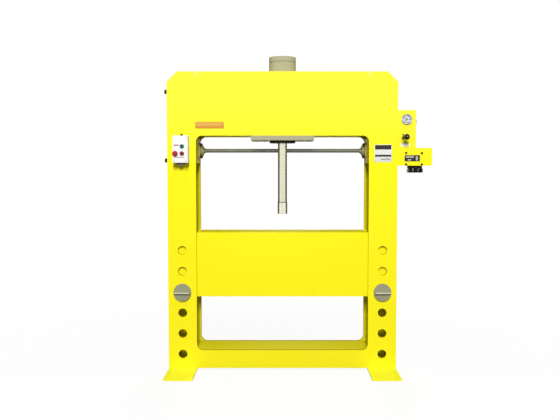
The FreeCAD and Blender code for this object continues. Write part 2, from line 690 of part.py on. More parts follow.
PISTON_SEAL_BOTTOM = f"({PISTON_TOP} - piston_seal_height)"
turned("ram_rod", [
    (0, NOSE_TOP),
    ("ram_radius", NOSE_TOP),
    ("ram_radius", PISTON_BOTTOM),
    ("spigot_radius", PISTON_BOTTOM),
    ("spigot_radius", PISTON_TOP),
    (0, PISTON_TOP),
])
piece(cylinder("nose_radius", "nose_length", 0, 0, NOSE_TIP), "ram_nose")
SPIGOT_HOLE = "spigot_radius + seat_gap"
hidden_ring("piston", SPIGOT_HOLE, "bore_radius - seat_gap", PISTON_BOTTOM, PISTON_SEAL_BOTTOM)
hidden_ring("piston_seal", SPIGOT_HOLE, "bore_radius - slide_gap", PISTON_SEAL_BOTTOM, PISTON_TOP)

# ---------------------------------------------------------------- bolster

PLATE_HALF = f"({COLUMN_MIDDLE} - pin_radius - notch_gap)"
EAR_BOTTOM = f"({PIN_Z} + pin_radius + seat_gap + notch_gap)"
FRONT_INSIDE = f"(-{BOLSTER_INSIDE} / 2)"
for label, low_y in (
    ("bolster_front_plate", f"{FRONT_INSIDE} - bolster_plate"),
    ("bolster_back_plate", f"{BOLSTER_INSIDE} / 2"),
):
    piece(box(f"-{PLATE_HALF}", low_y, BOLSTER_BOTTOM, f"2 * {PLATE_HALF}", "bolster_plate",
              "bolster_height"), label)

BED_HALF = f"({COLUMN_INSIDE} - bed_end_gap)"
piece(box(f"-{BED_HALF}", FRONT_INSIDE, f"{BOLSTER_TOP} - bed_thickness",
          f"2 * {BED_HALF}", BOLSTER_INSIDE, "bed_thickness"), "bolster_bed")
webs = [box(f"-{BED_HALF}", FRONT_INSIDE, BOLSTER_BOTTOM,
            f"2 * {BED_HALF}", BOLSTER_INSIDE, "sole_thickness")]
saddles = []
RIB_HEIGHT = "(bolster_height - bed_thickness - sole_thickness)"
SADDLE_OUTER = "(pin_radius + cheek_gap + saddle_wall)"
SEAT_Z = f"({PIN_Z} + pin_radius + seat_gap)"
ANCHOR_Z = f"({BOLSTER_TOP} - anchor_drop)"
LINK_HALF = "(roller_length / 2 + link_thickness)"
for sign in (-1, 1):
    webs.append(box(f"{sign} * rib_place - rib_thickness / 2", FRONT_INSIDE,
                    f"{BOLSTER_BOTTOM} + sole_thickness", "rib_thickness", BOLSTER_INSIDE, RIB_HEIGHT))
    bar_x = f"{sign} * {CHAIN_X}"
    bar = box(f"{bar_x} - anchor_width / 2", FRONT_INSIDE, ANCHOR_Z,
              "anchor_width", BOLSTER_INSIDE, "anchor_thickness")
    slot = box(f"{bar_x} - {LINK_HALF} - anchor_slot_gap",
               f"{LOAD_Y} - link_height / 2 - anchor_slot_gap", f"{ANCHOR_Z} - anchor_thickness",
               f"2 * {LINK_HALF} + 2 * anchor_slot_gap", "link_height + 2 * anchor_slot_gap",
               "3 * anchor_thickness")
    webs.append(cut(bar, slot))

    # Over each pin: an ear on either plate, the seat block between the ears, and its two cheeks.
    saddle_x = f"{sign} * {COLUMN_MIDDLE}"
    for low_y in (f"{FRONT_INSIDE} - bolster_plate", f"{BOLSTER_INSIDE} / 2"):
        saddles.append(box(side_low(sign, PLATE_HALF, BOLSTER_HALF), low_y, EAR_BOTTOM,
                           f"{BOLSTER_HALF} - {PLATE_HALF}", "bolster_plate",
                           f"{BOLSTER_TOP} - {EAR_BOTTOM}"))
    saddles.append(box(f"{saddle_x} - {SADDLE_OUTER}", FRONT_INSIDE, SEAT_Z,
                       f"2 * {SADDLE_OUTER}", BOLSTER_INSIDE, "saddle_wall"))
    for cheek_x in (f"{saddle_x} - {SADDLE_OUTER}", f"{saddle_x} + pin_radius + cheek_gap"):
        saddles.append(box(cheek_x, FRONT_INSIDE, BOLSTER_BOTTOM,
                           "saddle_wall", BOLSTER_INSIDE, f"{SEAT_Z} - {BOLSTER_BOTTOM}"))
piece(group(webs), "bolster_webs")
piece(group(saddles), "pin_saddles")

# ---------------------------------------------------------------- pins

PIN_SPAN = "(frame_depth + pin_head_gap + pin_tail)"
HEAD_FRONT = f"(-{HALF_DEPTH} - pin_head_gap - pin_head_thickness)"
for sign in (-1, 1):
    shank = doc.addObject("PartDesign::Body", "pin")
    profile = [
        (0, "-pin_head_thickness"),
        ("pin_head_radius", "-pin_head_thickness"),
        ("pin_head_radius", 0),
        ("pin_radius", 0),
        ("pin_radius", PIN_SPAN),
        (0, PIN_SPAN),
    ]
    revolve(shank, profile)
    place(shank, f"{sign} * {COLUMN_MIDDLE}", f"-{HALF_DEPTH} - pin_head_gap", PIN_Z, "y")
    handle = box(f"{sign} * {COLUMN_MIDDLE} - handle_length / 2", f"{HEAD_FRONT} - handle_reach",
                 f"{PIN_Z} - handle_height / 2", "handle_length", "handle_reach + handle_sink",
                 "handle_height")
    piece(fuse(shank, handle), f"{side_name(sign)}_pin")

# ---------------------------------------------------------------- levelling shaft, bearings, chains

SHAFT_HALF = f"({CHAIN_X} + tooth_width / 2 + shaft_overrun)"
piece(cylinder("shaft_radius", f"2 * {SHAFT_HALF}", f"-{SHAFT_HALF}", "shaft_back", SHAFT_Z, "x"),
      "cross_shaft")


def sprocket(sign):
    """Chain wheel: a disc with one tooth space repeated round it."""
    body = doc.addObject("PartDesign::Body", "sprocket")
    half = "tooth_width / 2"
    pad(body, circle(sketch(body, "XY_Plane", f"-{half}"), f"{PITCH_RADIUS} + tooth_tip"), "tooth_width")
    space_drawing = sketch(body, "XY_Plane", half)
    seat = "(roller_radius + roller_gap)"
    outline(space_drawing, [
        (f"-{seat} / 2", f"{PITCH_RADIUS} - {seat}"),
        (f"{seat} / 2", f"{PITCH_RADIUS} - {seat}"),
        (f"tooth_flare * {seat}", f"{PITCH_RADIUS} + 2 * tooth_tip"),
        (f"-tooth_flare * {seat}", f"{PITCH_RADIUS} + 2 * tooth_tip"),
    ])
    space = pocket(body, space_drawing, "tooth_width")
    polar(body, space, space_drawing, "tooth_count")
    pocket(body, circle(sketch(body, "XY_Plane", half), "shaft_radius + slide_gap"), "tooth_width")
    return place(body, f"{sign} * {CHAIN_X}", "shaft_back", SHAFT_Z, "x")


def lift_chain(sign):
    """Roller chain from the bolster up over its wheel, with its slack run hanging behind."""
    chain_x = f"{sign} * {CHAIN_X}"
    outer = f"({PITCH_RADIUS} + link_height / 2)"
    bands = []
    for side in (-1, 1):
        low_x = f"{chain_x} + {side} * (roller_length / 2 + link_thickness / 2) - link_thickness / 2"
        loop = cylinder(outer, "link_thickness", low_x, "shaft_back", SHAFT_Z, "x")
        hollow = cylinder(f"{outer} - link_height", "3 * link_thickness", f"{low_x} - link_thickness",
                          "shaft_back", SHAFT_Z, "x")
        below = box(f"{low_x} - link_thickness", f"shaft_back - 2 * {outer}", f"{SHAFT_Z} - 2 * {outer}",
                    "3 * link_thickness", f"4 * {outer}", f"2 * {outer}")
        bands.append(cut(loop, hollow, below))
        for run, length in ((-1, LOAD_RUN), (1, "slack_length")):
            bands.append(box(low_x, f"shaft_back + {run} * {PITCH_RADIUS} - link_height / 2",
                             f"{SHAFT_Z} - {length}", "link_thickness", "link_height", length))
    roller_x = f"{chain_x} - roller_length / 2"
    for run, length in ((-1, LOAD_RUN), (1, "slack_length")):
        bands.append(box(roller_x, f"shaft_back + {run} * {PITCH_RADIUS} - roller_radius",
                         f"{SHAFT_Z} - {length}", "roller_length", "2 * roller_radius",
                         f"{length} - roller_start"))
    return fuse(*bands)


def flange_bearing(sign):
    """Square flange with cut corners and a round hub, bored for its ring."""
    body = doc.addObject("PartDesign::Body", "bearing")
    half = "(flange_size / 2)"
    short = f"({half} - flange_corner)"
    corners = []
    for across, up in ((-1, -1), (1, -1), (1, 1), (-1, 1)):
        two = [(f"{across} * {short}", f"{up} * {half}"), (f"{across} * {half}", f"{up} * {short}")]
        corners += two[::-1] if across == up else two
    pad(body, outline(sketch(body, "XY_Plane"), corners), "flange_thickness")
    hub = circle(sketch(body, "XY_Plane", "flange_thickness"), "bearing_hub_radius")
    pad(body, hub, "bearing_hub_length")
    pocket(body, circle(sketch(body, "XY_Plane", HUB_TOP), "bearing_seat_radius"))
    return place(body, f"{sign} * {COLUMN_INSIDE}", "shaft_back", SHAFT_Z, "-x" if sign > 0 else "x")


HUB_TOP = "(flange_thickness + bearing_hub_length)"
LOAD_RUN = f"({SHAFT_Z} - {ANCHOR_Z} + chain_tail)"
sprockets = []
chains = []
bearings = []
rings = []
bearing_screws = []
for sign in (-1, 1):
    toward = "-x" if sign > 0 else "x"
    sprockets.append(sprocket(sign))
    chains.append(lift_chain(sign))
    bearings.append(flange_bearing(sign))
    inner_ring = doc.addObject("PartDesign::Body", "bearing_ring")
    revolve(inner_ring, [
        ("shaft_radius + slide_gap", 0),
        ("bearing_seat_radius - slide_gap", 0),
        ("bearing_seat_radius - slide_gap", HUB_TOP),
        ("shaft_radius + slide_gap", f"{HUB_TOP} + collar_length"),
    ])
    rings.append(place(inner_ring, f"{sign} * {COLUMN_INSIDE}", "shaft_back", SHAFT_Z, toward))
    for across in (-1, 1):
        for up in (-1, 1):
            bearing_screws.append(prism(6, "bearing_bolt_flats", "bearing_bolt_head",
                                        f"{sign} * {BEARING_FACE}",
                                        f"shaft_back + {across} * bolt_spacing / 2",
                                        f"{SHAFT_Z} + {up} * bolt_spacing / 2", toward))
piece(group(sprockets), "sprockets")
piece(group(chains), "lift_chains")
piece(group(bearings), "flange_bearings")
piece(group(rings), "bearing_rings")
piece(group(bearing_screws), "bearing_bolts")

# ---------------------------------------------------------------- side bolts and wiring duct

DUCT_X = f"(-{HALF_WIDTH} + side_thickness)"
duct_shell = box(DUCT_X, f"{SIDE_BOLT_Y} - duct_width / 2", "side_bolt_lower - duct_overrun", "duct_depth",
                 "duct_width", "side_bolt_upper - side_bolt_lower + 2 * duct_overrun")
duct_inside = box(f"{DUCT_X} + duct_wall", f"{SIDE_BOLT_Y} - duct_width / 2 + duct_wall",
                  "side_bolt_lower - 2 * duct_overrun", "duct_depth", "duct_width - 2 * duct_wall",
                  "side_bolt_upper - side_bolt_lower + 4 * duct_overrun")
side_screws = []
for height in ("side_bolt_lower", "side_bolt_upper"):
    side_screws.append(prism(6, "side_bolt_flats", "side_bolt_head", f"-{HALF_WIDTH}", SIDE_BOLT_Y,
                             height, "-x"))
piece(cut(duct_shell, duct_inside), "wiring_duct")
piece(group(side_screws), "side_bolts")

# ---------------------------------------------------------------- motor starter

COVER_BACK = f"(-{HALF_DEPTH} - starter_base_depth)"
base_block = box(STARTER_X, COVER_BACK, "starter_bottom", "starter_width", "starter_base_depth",
                 "starter_height")
base_hollow = box(f"{STARTER_X} + starter_wall", f"{COVER_BACK} - starter_wall",
                  "starter_bottom + starter_wall", "starter_width - 2 * starter_wall",
                  "starter_base_depth", "starter_height - 2 * starter_wall")
piece(cut(base_block, base_hollow), "starter_base")

BUTTONS = (
    ("start_button", "button_column", "start_height", "button_radius"),
    ("stop_button", "button_column", "stop_height", "button_radius"),
    ("stop_mushroom", "mushroom_column", "stop_height", "button_stem_radius"),
)
COVER_DEPTH = "(starter_depth - starter_base_depth)"
HALF_COVER = "(starter_width / 2)"
cover = new_body("starter_cover")
pad(cover, outline(sketch(cover, "XZ_Plane"), [
    (f"-{HALF_COVER}", 0),
    (HALF_COVER, 0),
    (HALF_COVER, "starter_height"),
    (f"-{HALF_COVER}", "starter_height"),
]), COVER_DEPTH)
pocket(cover, outline(sketch(cover, "XZ_Plane"), [
    (f"-{HALF_COVER} + starter_wall", "starter_wall"),
    (f"{HALF_COVER} - starter_wall", "starter_wall"),
    (f"{HALF_COVER} - starter_wall", "starter_height - starter_wall"),
    (f"-{HALF_COVER} + starter_wall", "starter_height - starter_wall"),
]), f"{COVER_DEPTH} - starter_wall", reverse=True)
button_holes = sketch(cover, "XZ_Plane")
for label, across, up, radius in BUTTONS:
    circle(button_holes, f"{radius} + button_gap", across, up)
pocket(cover, button_holes, reverse=True)
place(cover, STARTER_MIDDLE, COVER_BACK, "starter_bottom")

PROUD = "(button_travel + mushroom_lift)"
BUTTON_SIDES = 20
for label, across, up, radius in BUTTONS:
    column = f"{STARTER_MIDDLE} + {across}"
    row = f"starter_bottom + {up}"
    proud = PROUD if label == "stop_mushroom" else "button_proud"
    button = prism(BUTTON_SIDES, f"2 * {radius}", f"button_depth + {proud}", column,
                   f"{STARTER_FRONT} - {proud}", row, "y")
    if label == "stop_mushroom":
        head = prism(BUTTON_SIDES, "2 * mushroom_radius", "mushroom_height", column,
                     f"{STARTER_FRONT} - {PROUD} - mushroom_height", row, "y")
        button = fuse(button, head)
    piece(button, label)

piece(box(f"{STARTER_MIDDLE} - contactor_width / 2",
          f"-{HALF_DEPTH} - starter_wall - contactor_depth", "starter_bottom + contactor_rise",
          "contactor_width", "contactor_depth", "contactor_height"), "starter_contactor")

# ---------------------------------------------------------------- control housing

housing = new_body("control_housing")
corners = [
    (0, "housing_bottom"),
    ("housing_wide", "housing_bottom"),
    ("housing_wide", "housing_split"),
    ("housing_width", "housing_split"),
    ("housing_width", "housing_top"),
    (0, "housing_top"),
]
pad(housing, outline(sketch(housing, "XZ_Plane"), corners), "housing_depth")
inside = [
    ("housing_wall", "housing_bottom + housing_wall"),
    ("housing_wide - housing_wall", "housing_bottom + housing_wall"),
    ("housing_wide - housing_wall", "housing_split - housing_wall"),
    ("housing_width - housing_wall", "housing_split - housing_wall"),
    ("housing_width - housing_wall", "housing_top - housing_wall"),
    ("housing_wall", "housing_top - housing_wall"),
]
pocket(housing, outline(sketch(housing, "XZ_Plane"), inside), "housing_depth - housing_wall", reverse=True)
front_holes = sketch(housing, "XZ_Plane")
gauge_hole = []
for corner in range(8):
    angle = f"({corner} * 45deg)"
    reach = "(gauge_body_radius + seat_gap) / cos(180deg / 8)"
    gauge_hole.append((f"gauge_x + {reach} * cos({angle})", f"gauge_z + {reach} * sin({angle})"))
outline(front_holes, gauge_hole)
slot_half = "(lever_slot_height / 2)"
outline(front_holes, [
    ("lever_x - lever_slot_width / 2", f"lever_z - {slot_half}"),
    ("lever_x + lever_slot_width / 2", f"lever_z - {slot_half}"),
    ("lever_x + lever_slot_width / 2", f"lever_z + {slot_half}"),
    ("lever_x - lever_slot_width / 2", f"lever_z + {slot_half}"),
])
pocket(housing, front_holes, reverse=True)
port_opening = sketch(housing, "XY_Plane", "housing_bottom + 2 * housing_wall")
outline(port_opening, [
    ("port_block_left - seat_gap", "-(housing_wall + valve_depth / 2 + port_block_depth / 2 + seat_gap)"),
    ("port_block_left + port_block_width + seat_gap",
     "-(housing_wall + valve_depth / 2 + port_block_depth / 2 + seat_gap)"),
    ("port_block_left + port_block_width + seat_gap",
     "-(housing_wall + valve_depth / 2 - port_block_depth / 2 - seat_gap)"),
    ("port_block_left - seat_gap", "-(housing_wall + valve_depth / 2 - port_block_depth / 2 - seat_gap)"),
])
pocket(housing, port_opening, "3 * housing_wall")
place(housing, HALF_WIDTH, HOUSING_BACK, 0)

CASE_BORE = "(gauge_body_radius - gauge_wall)"
bezel = doc.addObject("PartDesign::Body", "bezel")
revolve(bezel, [
    (0, 0),
    ("gauge_radius", 0),
    ("gauge_radius", "bezel_depth"),
    (CASE_BORE, "bezel_depth"),
    (CASE_BORE, "gauge_floor"),
    (0, "gauge_floor"),
])
place(bezel, GAUGE_X, f"-{HALF_DEPTH}", "gauge_z", "-y")
gauge_body = prism(8, "2 * gauge_body_radius", "gauge_depth", GAUGE_X, f"-{HALF_DEPTH}", "gauge_z", "y")
piece(fuse(bezel, gauge_body), "gauge_case")
DIAL_FACE = "(gauge_floor + dial_thickness)"
DISC_FLATS = f"2 * ({CASE_BORE} - seat_gap) * cos(180deg / {HIDDEN_SIDES})"
for label, face, thickness in (
    ("gauge_dial", DIAL_FACE, "dial_thickness"),
    ("gauge_glass", "lens_proud", "lens_thickness"),
):
    disc = prism(HIDDEN_SIDES, DISC_FLATS, thickness, GAUGE_X, f"-{HALF_DEPTH} - {face}", "gauge_z", "y")
    piece(disc, label)

needle = new_body("gauge_needle")
pad(needle, outline(sketch(needle, "XY_Plane", f"{DIAL_FACE} + needle_thickness"), [
    ("-needle_length", 0),
    ("-needle_length / 3", "-needle_width / 4"),
    ("needle_length / 3", "-needle_width / 2"),
    ("needle_length / 3", "needle_width / 2"),
    ("-needle_length / 3", "needle_width / 4"),
]), "needle_thickness")
place(needle, GAUGE_X, f"-{HALF_DEPTH}", "gauge_z", "-y")
zero_turn = FreeCAD.Rotation(V(0, 0, 1), 45)
needle.Placement.Rotation = TURNS["-y"].multiply(zero_turn)

valve_block = box(f"{HALF_WIDTH} + valve_left", VALVE_FRONT, VALVE_BOTTOM, "valve_width", "valve_depth",
                  "valve_height")
piece(valve_block, "valve_body")
valve_screws = []
for across in (-1, 1):
    for up in (-1, 1):
        valve_screws.append(prism(6, "valve_bolt_flats", "valve_bolt_head",
                                  f"{HALF_WIDTH} + valve_bolt_x + {across} * valve_bolt_across / 2",
                                  f"-{HALF_DEPTH}", f"valve_bolt_z + {up} * valve_bolt_up / 2", "-y"))
piece(group(valve_screws), "valve_bolts")
# The heel of an elbow is rounded off in three steps, given as shares of its radius.
HEEL = ((-1, -0.5), (-0.7, -0.9), (-0.2, -1))
fittings = [box(f"{HALF_WIDTH} + port_block_left", f"{ELBOW_Y} - port_block_depth / 2", PORT_BOTTOM,
                "port_block_width", "port_block_depth", "port_block_height")]
for number in range(int(VALUE["elbow_count"])):
    elbow = doc.addObject("PartDesign::Body", "elbow")
    pad(elbow, outline(sketch(elbow, "YZ_Plane", "-elbow_radius"), [
        ("-elbow_radius", "elbow_drop"),
        *((f"{across} * elbow_radius", f"{up} * elbow_radius") for across, up in HEEL),
        ("elbow_reach", "-elbow_radius"),
        ("elbow_reach", "elbow_radius"),
        ("elbow_radius", "elbow_radius"),
        ("elbow_radius", "elbow_drop"),
    ]), "2 * elbow_radius")
    fittings.append(place(elbow, f"{HALF_WIDTH} + elbow_first + {number} * elbow_pitch", ELBOW_Y, ELBOW_Z))
piece(group(fittings), "valve_fittings")

spindle = prism(8, "2 * spindle_radius", f"lever_z - {VALVE_TOP}", LEVER_X, LEVER_Y, VALVE_TOP)
hub = cylinder("lever_hub_radius", "lever_hub_height", LEVER_X, LEVER_Y, "lever_z - lever_hub_height / 2")
rod = cylinder("lever_radius", "lever_length - seat_gap", LEVER_X,
               f"{LEVER_Y} - lever_length + seat_gap", "lever_z", "y")
piece(fuse(spindle, hub, rod), "valve_lever")
BALL_SIDES = 16
ball = doc.addObject("PartDesign::Body", "ball")
around = [f"({number} * 360deg / {BALL_SIDES})" for number in range(BALL_SIDES)]
ball_corners = [(f"knob_radius * cos({angle})", f"knob_radius * sin({angle})") for angle in around]
pad(ball, outline(sketch(ball, "XY_Plane", "-knob_radius"), ball_corners), "2 * knob_radius")


def level_edge(low, high):
    return abs(low.z - high.z) < VALUE["slide_gap"]


dress(ball, f"knob_radius * (1 - tan(360deg / {BALL_SIDES}))", level_edge, "Chamfer", "Size")
place(ball, LEVER_X, f"{LEVER_Y} - lever_length", "lever_z")
rod_hole = cylinder("lever_radius + slide_gap", "2 * knob_radius", LEVER_X, f"{LEVER_Y} - lever_length",
                    "lever_z", "y")
piece(cut(ball, rod_hole), "lever_knob")

# ---------------------------------------------------------------- power unit behind the beam

SHELF_LEFT = "(unit_x - shelf_width / 2)"
TANK_LEFT = "(unit_x - tank_width / 2)"
shelf = [
    box(SHELF_LEFT, HALF_DEPTH, "shelf_z - shelf_sheet", "shelf_width", "shelf_depth", "shelf_sheet"),
    box(SHELF_LEFT, HALF_DEPTH, "shelf_z - shelf_sheet", "shelf_width", "shelf_sheet",
        "shelf_rise + shelf_sheet"),
    box(SHELF_LEFT, f"{HALF_DEPTH} + shelf_depth - shelf_sheet", "shelf_z - shelf_sheet - shelf_lip",
        "shelf_width", "shelf_sheet", "shelf_lip + shelf_sheet"),
]
for side in (SHELF_LEFT, f"{SHELF_LEFT} + shelf_width - shelf_sheet"):
    shelf.append(box(side, HALF_DEPTH, "shelf_z - shelf_sheet - shelf_lip", "shelf_sheet", "shelf_depth",
                     "shelf_lip + shelf_sheet"))
piece(fuse(*shelf), "pump_shelf")

tank = box(TANK_LEFT, TANK_FRONT, "shelf_z", "tank_width", "tank_depth", "tank_height")
tank_hollow = box(f"{TANK_LEFT} + tank_wall", f"{TANK_FRONT} + tank_wall", "shelf_z + tank_wall",
                  "tank_width - 2 * tank_wall", "tank_depth - 2 * tank_wall", "tank_height")
piece(cut(tank, tank_hollow), "reservoir")
lid = box(f"{TANK_LEFT} - lid_overhang", f"{TANK_FRONT} - lid_overhang", TANK_TOP,
          "tank_width + 2 * lid_overhang", "tank_depth + 2 * lid_overhang", "lid_thickness")
BREATHER_Y = f"{TANK_FRONT} + tank_depth - breather_inset"
breather = cylinder("breather_radius", "breather_height", "breather_x", BREATHER_Y, LID_TOP)
piece(fuse(lid, breather), "reservoir_lid")

shell = doc.addObject("PartDesign::Body", "motor_shell")
SHAFT_BORE = "(rotor_shaft + slide_gap)"
revolve(shell, [
    (SHAFT_BORE, 0),
    ("motor_radius", 0),
    ("motor_radius", MOTOR_SPAN),
    (SHAFT_BORE, MOTOR_SPAN),
])
fin_drawing = sketch(shell, "XY_Plane", "shield_length")
outline(fin_drawing, [
    ("-fin_thickness / 2", "motor_radius - fin_root"),
    ("fin_thickness / 2", "motor_radius - fin_root"),
    ("fin_thickness / 2", "motor_radius + fin_height"),
    ("-fin_thickness / 2", "motor_radius + fin_height"),
])
fin = pad(shell, fin_drawing, "motor_length")
polar(shell, fin, fin_drawing, "fin_count")
place(shell, SHIELD_LEFT, TANK_Y, MOTOR_Z, "x")
MOTOR_MIDDLE = f"({MOTOR_LEFT} + motor_length / 2)"
housing_blocks = [
    shell,
    box(f"{MOTOR_MIDDLE} - motor_base_length / 2", f"{TANK_Y} - motor_base_width / 2", LID_TOP,
        "motor_base_length", "motor_base_width", "motor_base_height"),
    box(f"{MOTOR_MIDDLE} - motor_base_length / 2", f"{TANK_Y} - motor_neck_width / 2", LID_TOP,
        "motor_base_length", "motor_neck_width", "motor_height - motor_radius + motor_neck_root"),
    box(f"{MOTOR_MIDDLE} - terminal_size / 2", f"{TANK_Y} - terminal_size / 2",
        f"{MOTOR_Z} + terminal_foot", "terminal_size", "terminal_size", "terminal_height - terminal_foot"),
]
piece(fuse(*housing_blocks), "motor_housing")

cowl = new_body("fan_cowl")
COWL_INNER = "(motor_radius + seat_gap)"
revolve(cowl, [
    (0, "-cowl_length"),
    (f"{COWL_INNER} + cowl_wall", "-cowl_length"),
    (f"{COWL_INNER} + cowl_wall", "cowl_overlap"),
    (COWL_INNER, "cowl_overlap"),
    (COWL_INNER, "cowl_wall - cowl_length"),
    (0, "cowl_wall - cowl_length"),
])
place(cowl, SHIELD_LEFT, TANK_Y, MOTOR_Z, "x")

rotor = new_body("motor_rotor")
revolve(rotor, [
    (0, "-rotor_tail"),
    ("rotor_shaft", "-rotor_tail"),
    ("rotor_shaft", f"{MOTOR_SPAN} + rotor_nose"),
    (0, f"{MOTOR_SPAN} + rotor_nose"),
])
blade_drawing = sketch(rotor, "XY_Plane", "-rotor_tail + fan_inset")
outline(blade_drawing, [
    ("-blade_thickness / 2", "rotor_shaft / 2"),
    ("blade_thickness / 2", "rotor_shaft / 2"),
    ("blade_thickness / 2", "fan_radius"),
    ("-blade_thickness / 2", "fan_radius"),
])
blade = pad(rotor, blade_drawing, "fan_length")
polar(rotor, blade, blade_drawing, "fan_blades")
jaws = sketch(rotor, "XY_Plane", f"{MOTOR_SPAN} + coupling_gap")
outline(jaws, [
    ("-coupling_radius", "-coupling_radius / 2"),
    ("-coupling_radius / 2", "-coupling_radius"),
    ("coupling_radius / 2", "-coupling_radius"),
    ("coupling_radius", "-coupling_radius / 2"),
    ("coupling_radius", "coupling_radius / 2"),
    ("coupling_radius / 2", "coupling_radius"),
    ("-coupling_radius / 2", "coupling_radius"),
    ("-coupling_radius", "coupling_radius / 2"),
])
pad(rotor, jaws, "rotor_nose - coupling_gap")
place(rotor, SHIELD_LEFT, TANK_Y, MOTOR_Z, "x")

bell = cylinder("bell_radius", "bell_length", BELL_LEFT, TANK_Y, MOTOR_Z, "x")
bell_hollow = cylinder("bell_radius - bell_wall", "bell_length", f"{BELL_LEFT} - bell_wall", TANK_Y,
                       MOTOR_Z, "x")
window = box(f"{BELL_LEFT} + bell_length / 2 - bell_window / 2", TANK_Y, f"{MOTOR_Z} - bell_window / 2",
             "bell_window", "2 * bell_radius", "bell_window")
gear_case = doc.addObject("PartDesign::Body", "gear_case")
wide, high, corner = "(pump_width / 2)", "(pump_height / 2)", "(pump_width / 5)"
pad(gear_case, outline(sketch(gear_case, "YZ_Plane"), [
    (f"{corner} - {wide}", f"-{high}"),
    (f"{wide} - {corner}", f"-{high}"),
    (wide, f"{corner} - {high}"),
    (wide, f"{high} - {corner}"),
    (f"{wide} - {corner}", high),
    (f"{corner} - {wide}", high),
    (f"-{wide}", f"{high} - {corner}"),
    (f"-{wide}", f"{corner} - {high}"),
]), "pump_length")
place(gear_case, PUMP_LEFT, TANK_Y, MOTOR_Z)
piece(fuse(cut(bell, bell_hollow, window), gear_case), "pump")

# ---------------------------------------------------------------- pipes


def pipe_run(start, moves):
    """A pipe of straight lengths with a corner fitting at each turn and a nut at each end."""
    at = dict(zip("xyz", start))
    first_way = moves[0][0]
    lengths = [prism(6, "2 * pipe_nut_radius", "pipe_nut_length", *start, first_way)]
    for number, (way, length) in enumerate(moves):
        lengths.append(prism(8, "2 * pipe_radius", length, at["x"], at["y"], at["z"], way))
        step = "-" if way.startswith("-") else "+"
        at[way[-1]] = f"({at[way[-1]]} {step} ({length}))"
        if number + 1 < len(moves):
            corner = [f"{at[axis]} - corner_size / 2" for axis in "xyz"]
            lengths.append(box(*corner, "corner_size", "corner_size", "corner_size"))
    back = way[-1] if way.startswith("-") else "-" + way
    lengths.append(prism(6, "2 * pipe_nut_radius", "pipe_nut_length", at["x"], at["y"], at["z"], back))
    return fuse(*lengths)


def elbow_end(number):
    return (f"({HALF_WIDTH} + elbow_first + {number} * elbow_pitch)", f"({ELBOW_Y} + elbow_reach)", ELBOW_Z)


ELBOW_BACK = f"({ELBOW_Y} + elbow_reach)"
PUMP_FRONT = f"({TANK_Y} - pump_width / 2)"
TANK_RIGHT = "(unit_x + tank_width / 2)"
to_riser = f"{RISER_Y} - {ELBOW_BACK}"
to_lane = f"{LANE_Y} - {RISER_Y}"
pressure = pipe_run(elbow_end(0), [
    ("y", to_riser),
    ("z", f"pressure_lane - {ELBOW_Z}"),
    ("y", to_lane),
    ("-x", f"{HALF_WIDTH} + elbow_first + pressure_rise"),
    ("z", f"{MOTOR_Z} - pressure_lane"),
    ("-x", f"-pressure_rise - {PUMP_X}"),
    ("y", f"{PUMP_FRONT} - {LANE_Y}"),
])
back_flow = pipe_run(elbow_end(1), [
    ("y", to_riser),
    ("z", f"return_lane - {ELBOW_Z}"),
    ("y", to_lane),
    ("-x", f"{HALF_WIDTH} + elbow_first + elbow_pitch - {TANK_RIGHT}"),
])
advance = pipe_run(elbow_end(2), [
    ("y", f"{to_riser} + riser_step"),
    ("z", f"advance_cross - {ELBOW_Z}"),
    ("-x", "elbow_first + 2 * elbow_pitch - advance_riser"),
    ("z", "advance_lane - advance_cross"),
    ("y", f"{to_lane} - riser_step"),
    ("-x", f"{HALF_WIDTH} + advance_riser"),
    ("z", "advance_port - advance_lane"),
    ("-y", f"{LANE_Y} - barrel_radius"),
])
VALVE_BACK = f"({VALVE_FRONT} + valve_depth)"
retract = pipe_run((f"({HALF_WIDTH} + retract_riser)", VALVE_BACK, "retract_start"), [
    ("y", f"{LANE_Y} - {VALVE_BACK}"),
    ("z", "retract_lane - retract_start"),
    ("-x", f"{HALF_WIDTH} + retract_riser"),
    ("-y", "lane_gap"),
])
suction = prism(8, "2 * suction_radius", "motor_height - pump_height / 2", PUMP_X, TANK_Y, LID_TOP)
gauge_pipe = prism(8, "2 * gauge_pipe_radius", "gauge_pipe_length", f"{HALF_WIDTH} + gauge_pipe_x",
                   f"-{HALF_DEPTH} + gauge_pipe_depth", VALVE_TOP)
piece(group([pressure, back_flow, advance, retract, suction, gauge_pipe]), "oil_pipes")

doc.recompute()

# ---------------------------------------------------------------- checks and files

failed = [item.Label for item in doc.Objects if "Invalid" in item.State or "Error" in item.State]
for item, base in cuts:
    if not item.Shape.isNull() and item.Shape.Volume >= base.Shape.Volume:
        failed.append(item.Label + " in " + base.Label + " cuts nothing")
for item in pieces:
    if item.Shape.isNull() or not item.Shape.isValid():
        failed.append(item.Label + " has no valid shape")
if failed:
    raise ValueError("not built: " + ", ".join(failed))

os.makedirs("parts", exist_ok=True)
for item in pieces:
    item.Shape.exportStep("parts/" + item.Label + ".step")
print("%d sub-parts written" % len(pieces))
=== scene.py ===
# %% [markdown]
# # Hydraulic shop press
# The press is a welded H-frame: two columns and an upper beam burned from one front and one back
# plate, with a cylinder through the beam, a bolster on two pins, a motor starter on the left, a
# lever valve with its gauge on the right, and a motor, pump and oil tank on a shelf behind.
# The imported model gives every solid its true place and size. This lesson dresses it: it rounds the
# edges that catch the light, adds the small fittings that the solids leave out, and gives every
# piece a finish. Loading the model first means that each new piece can be measured from it.

import json
import math

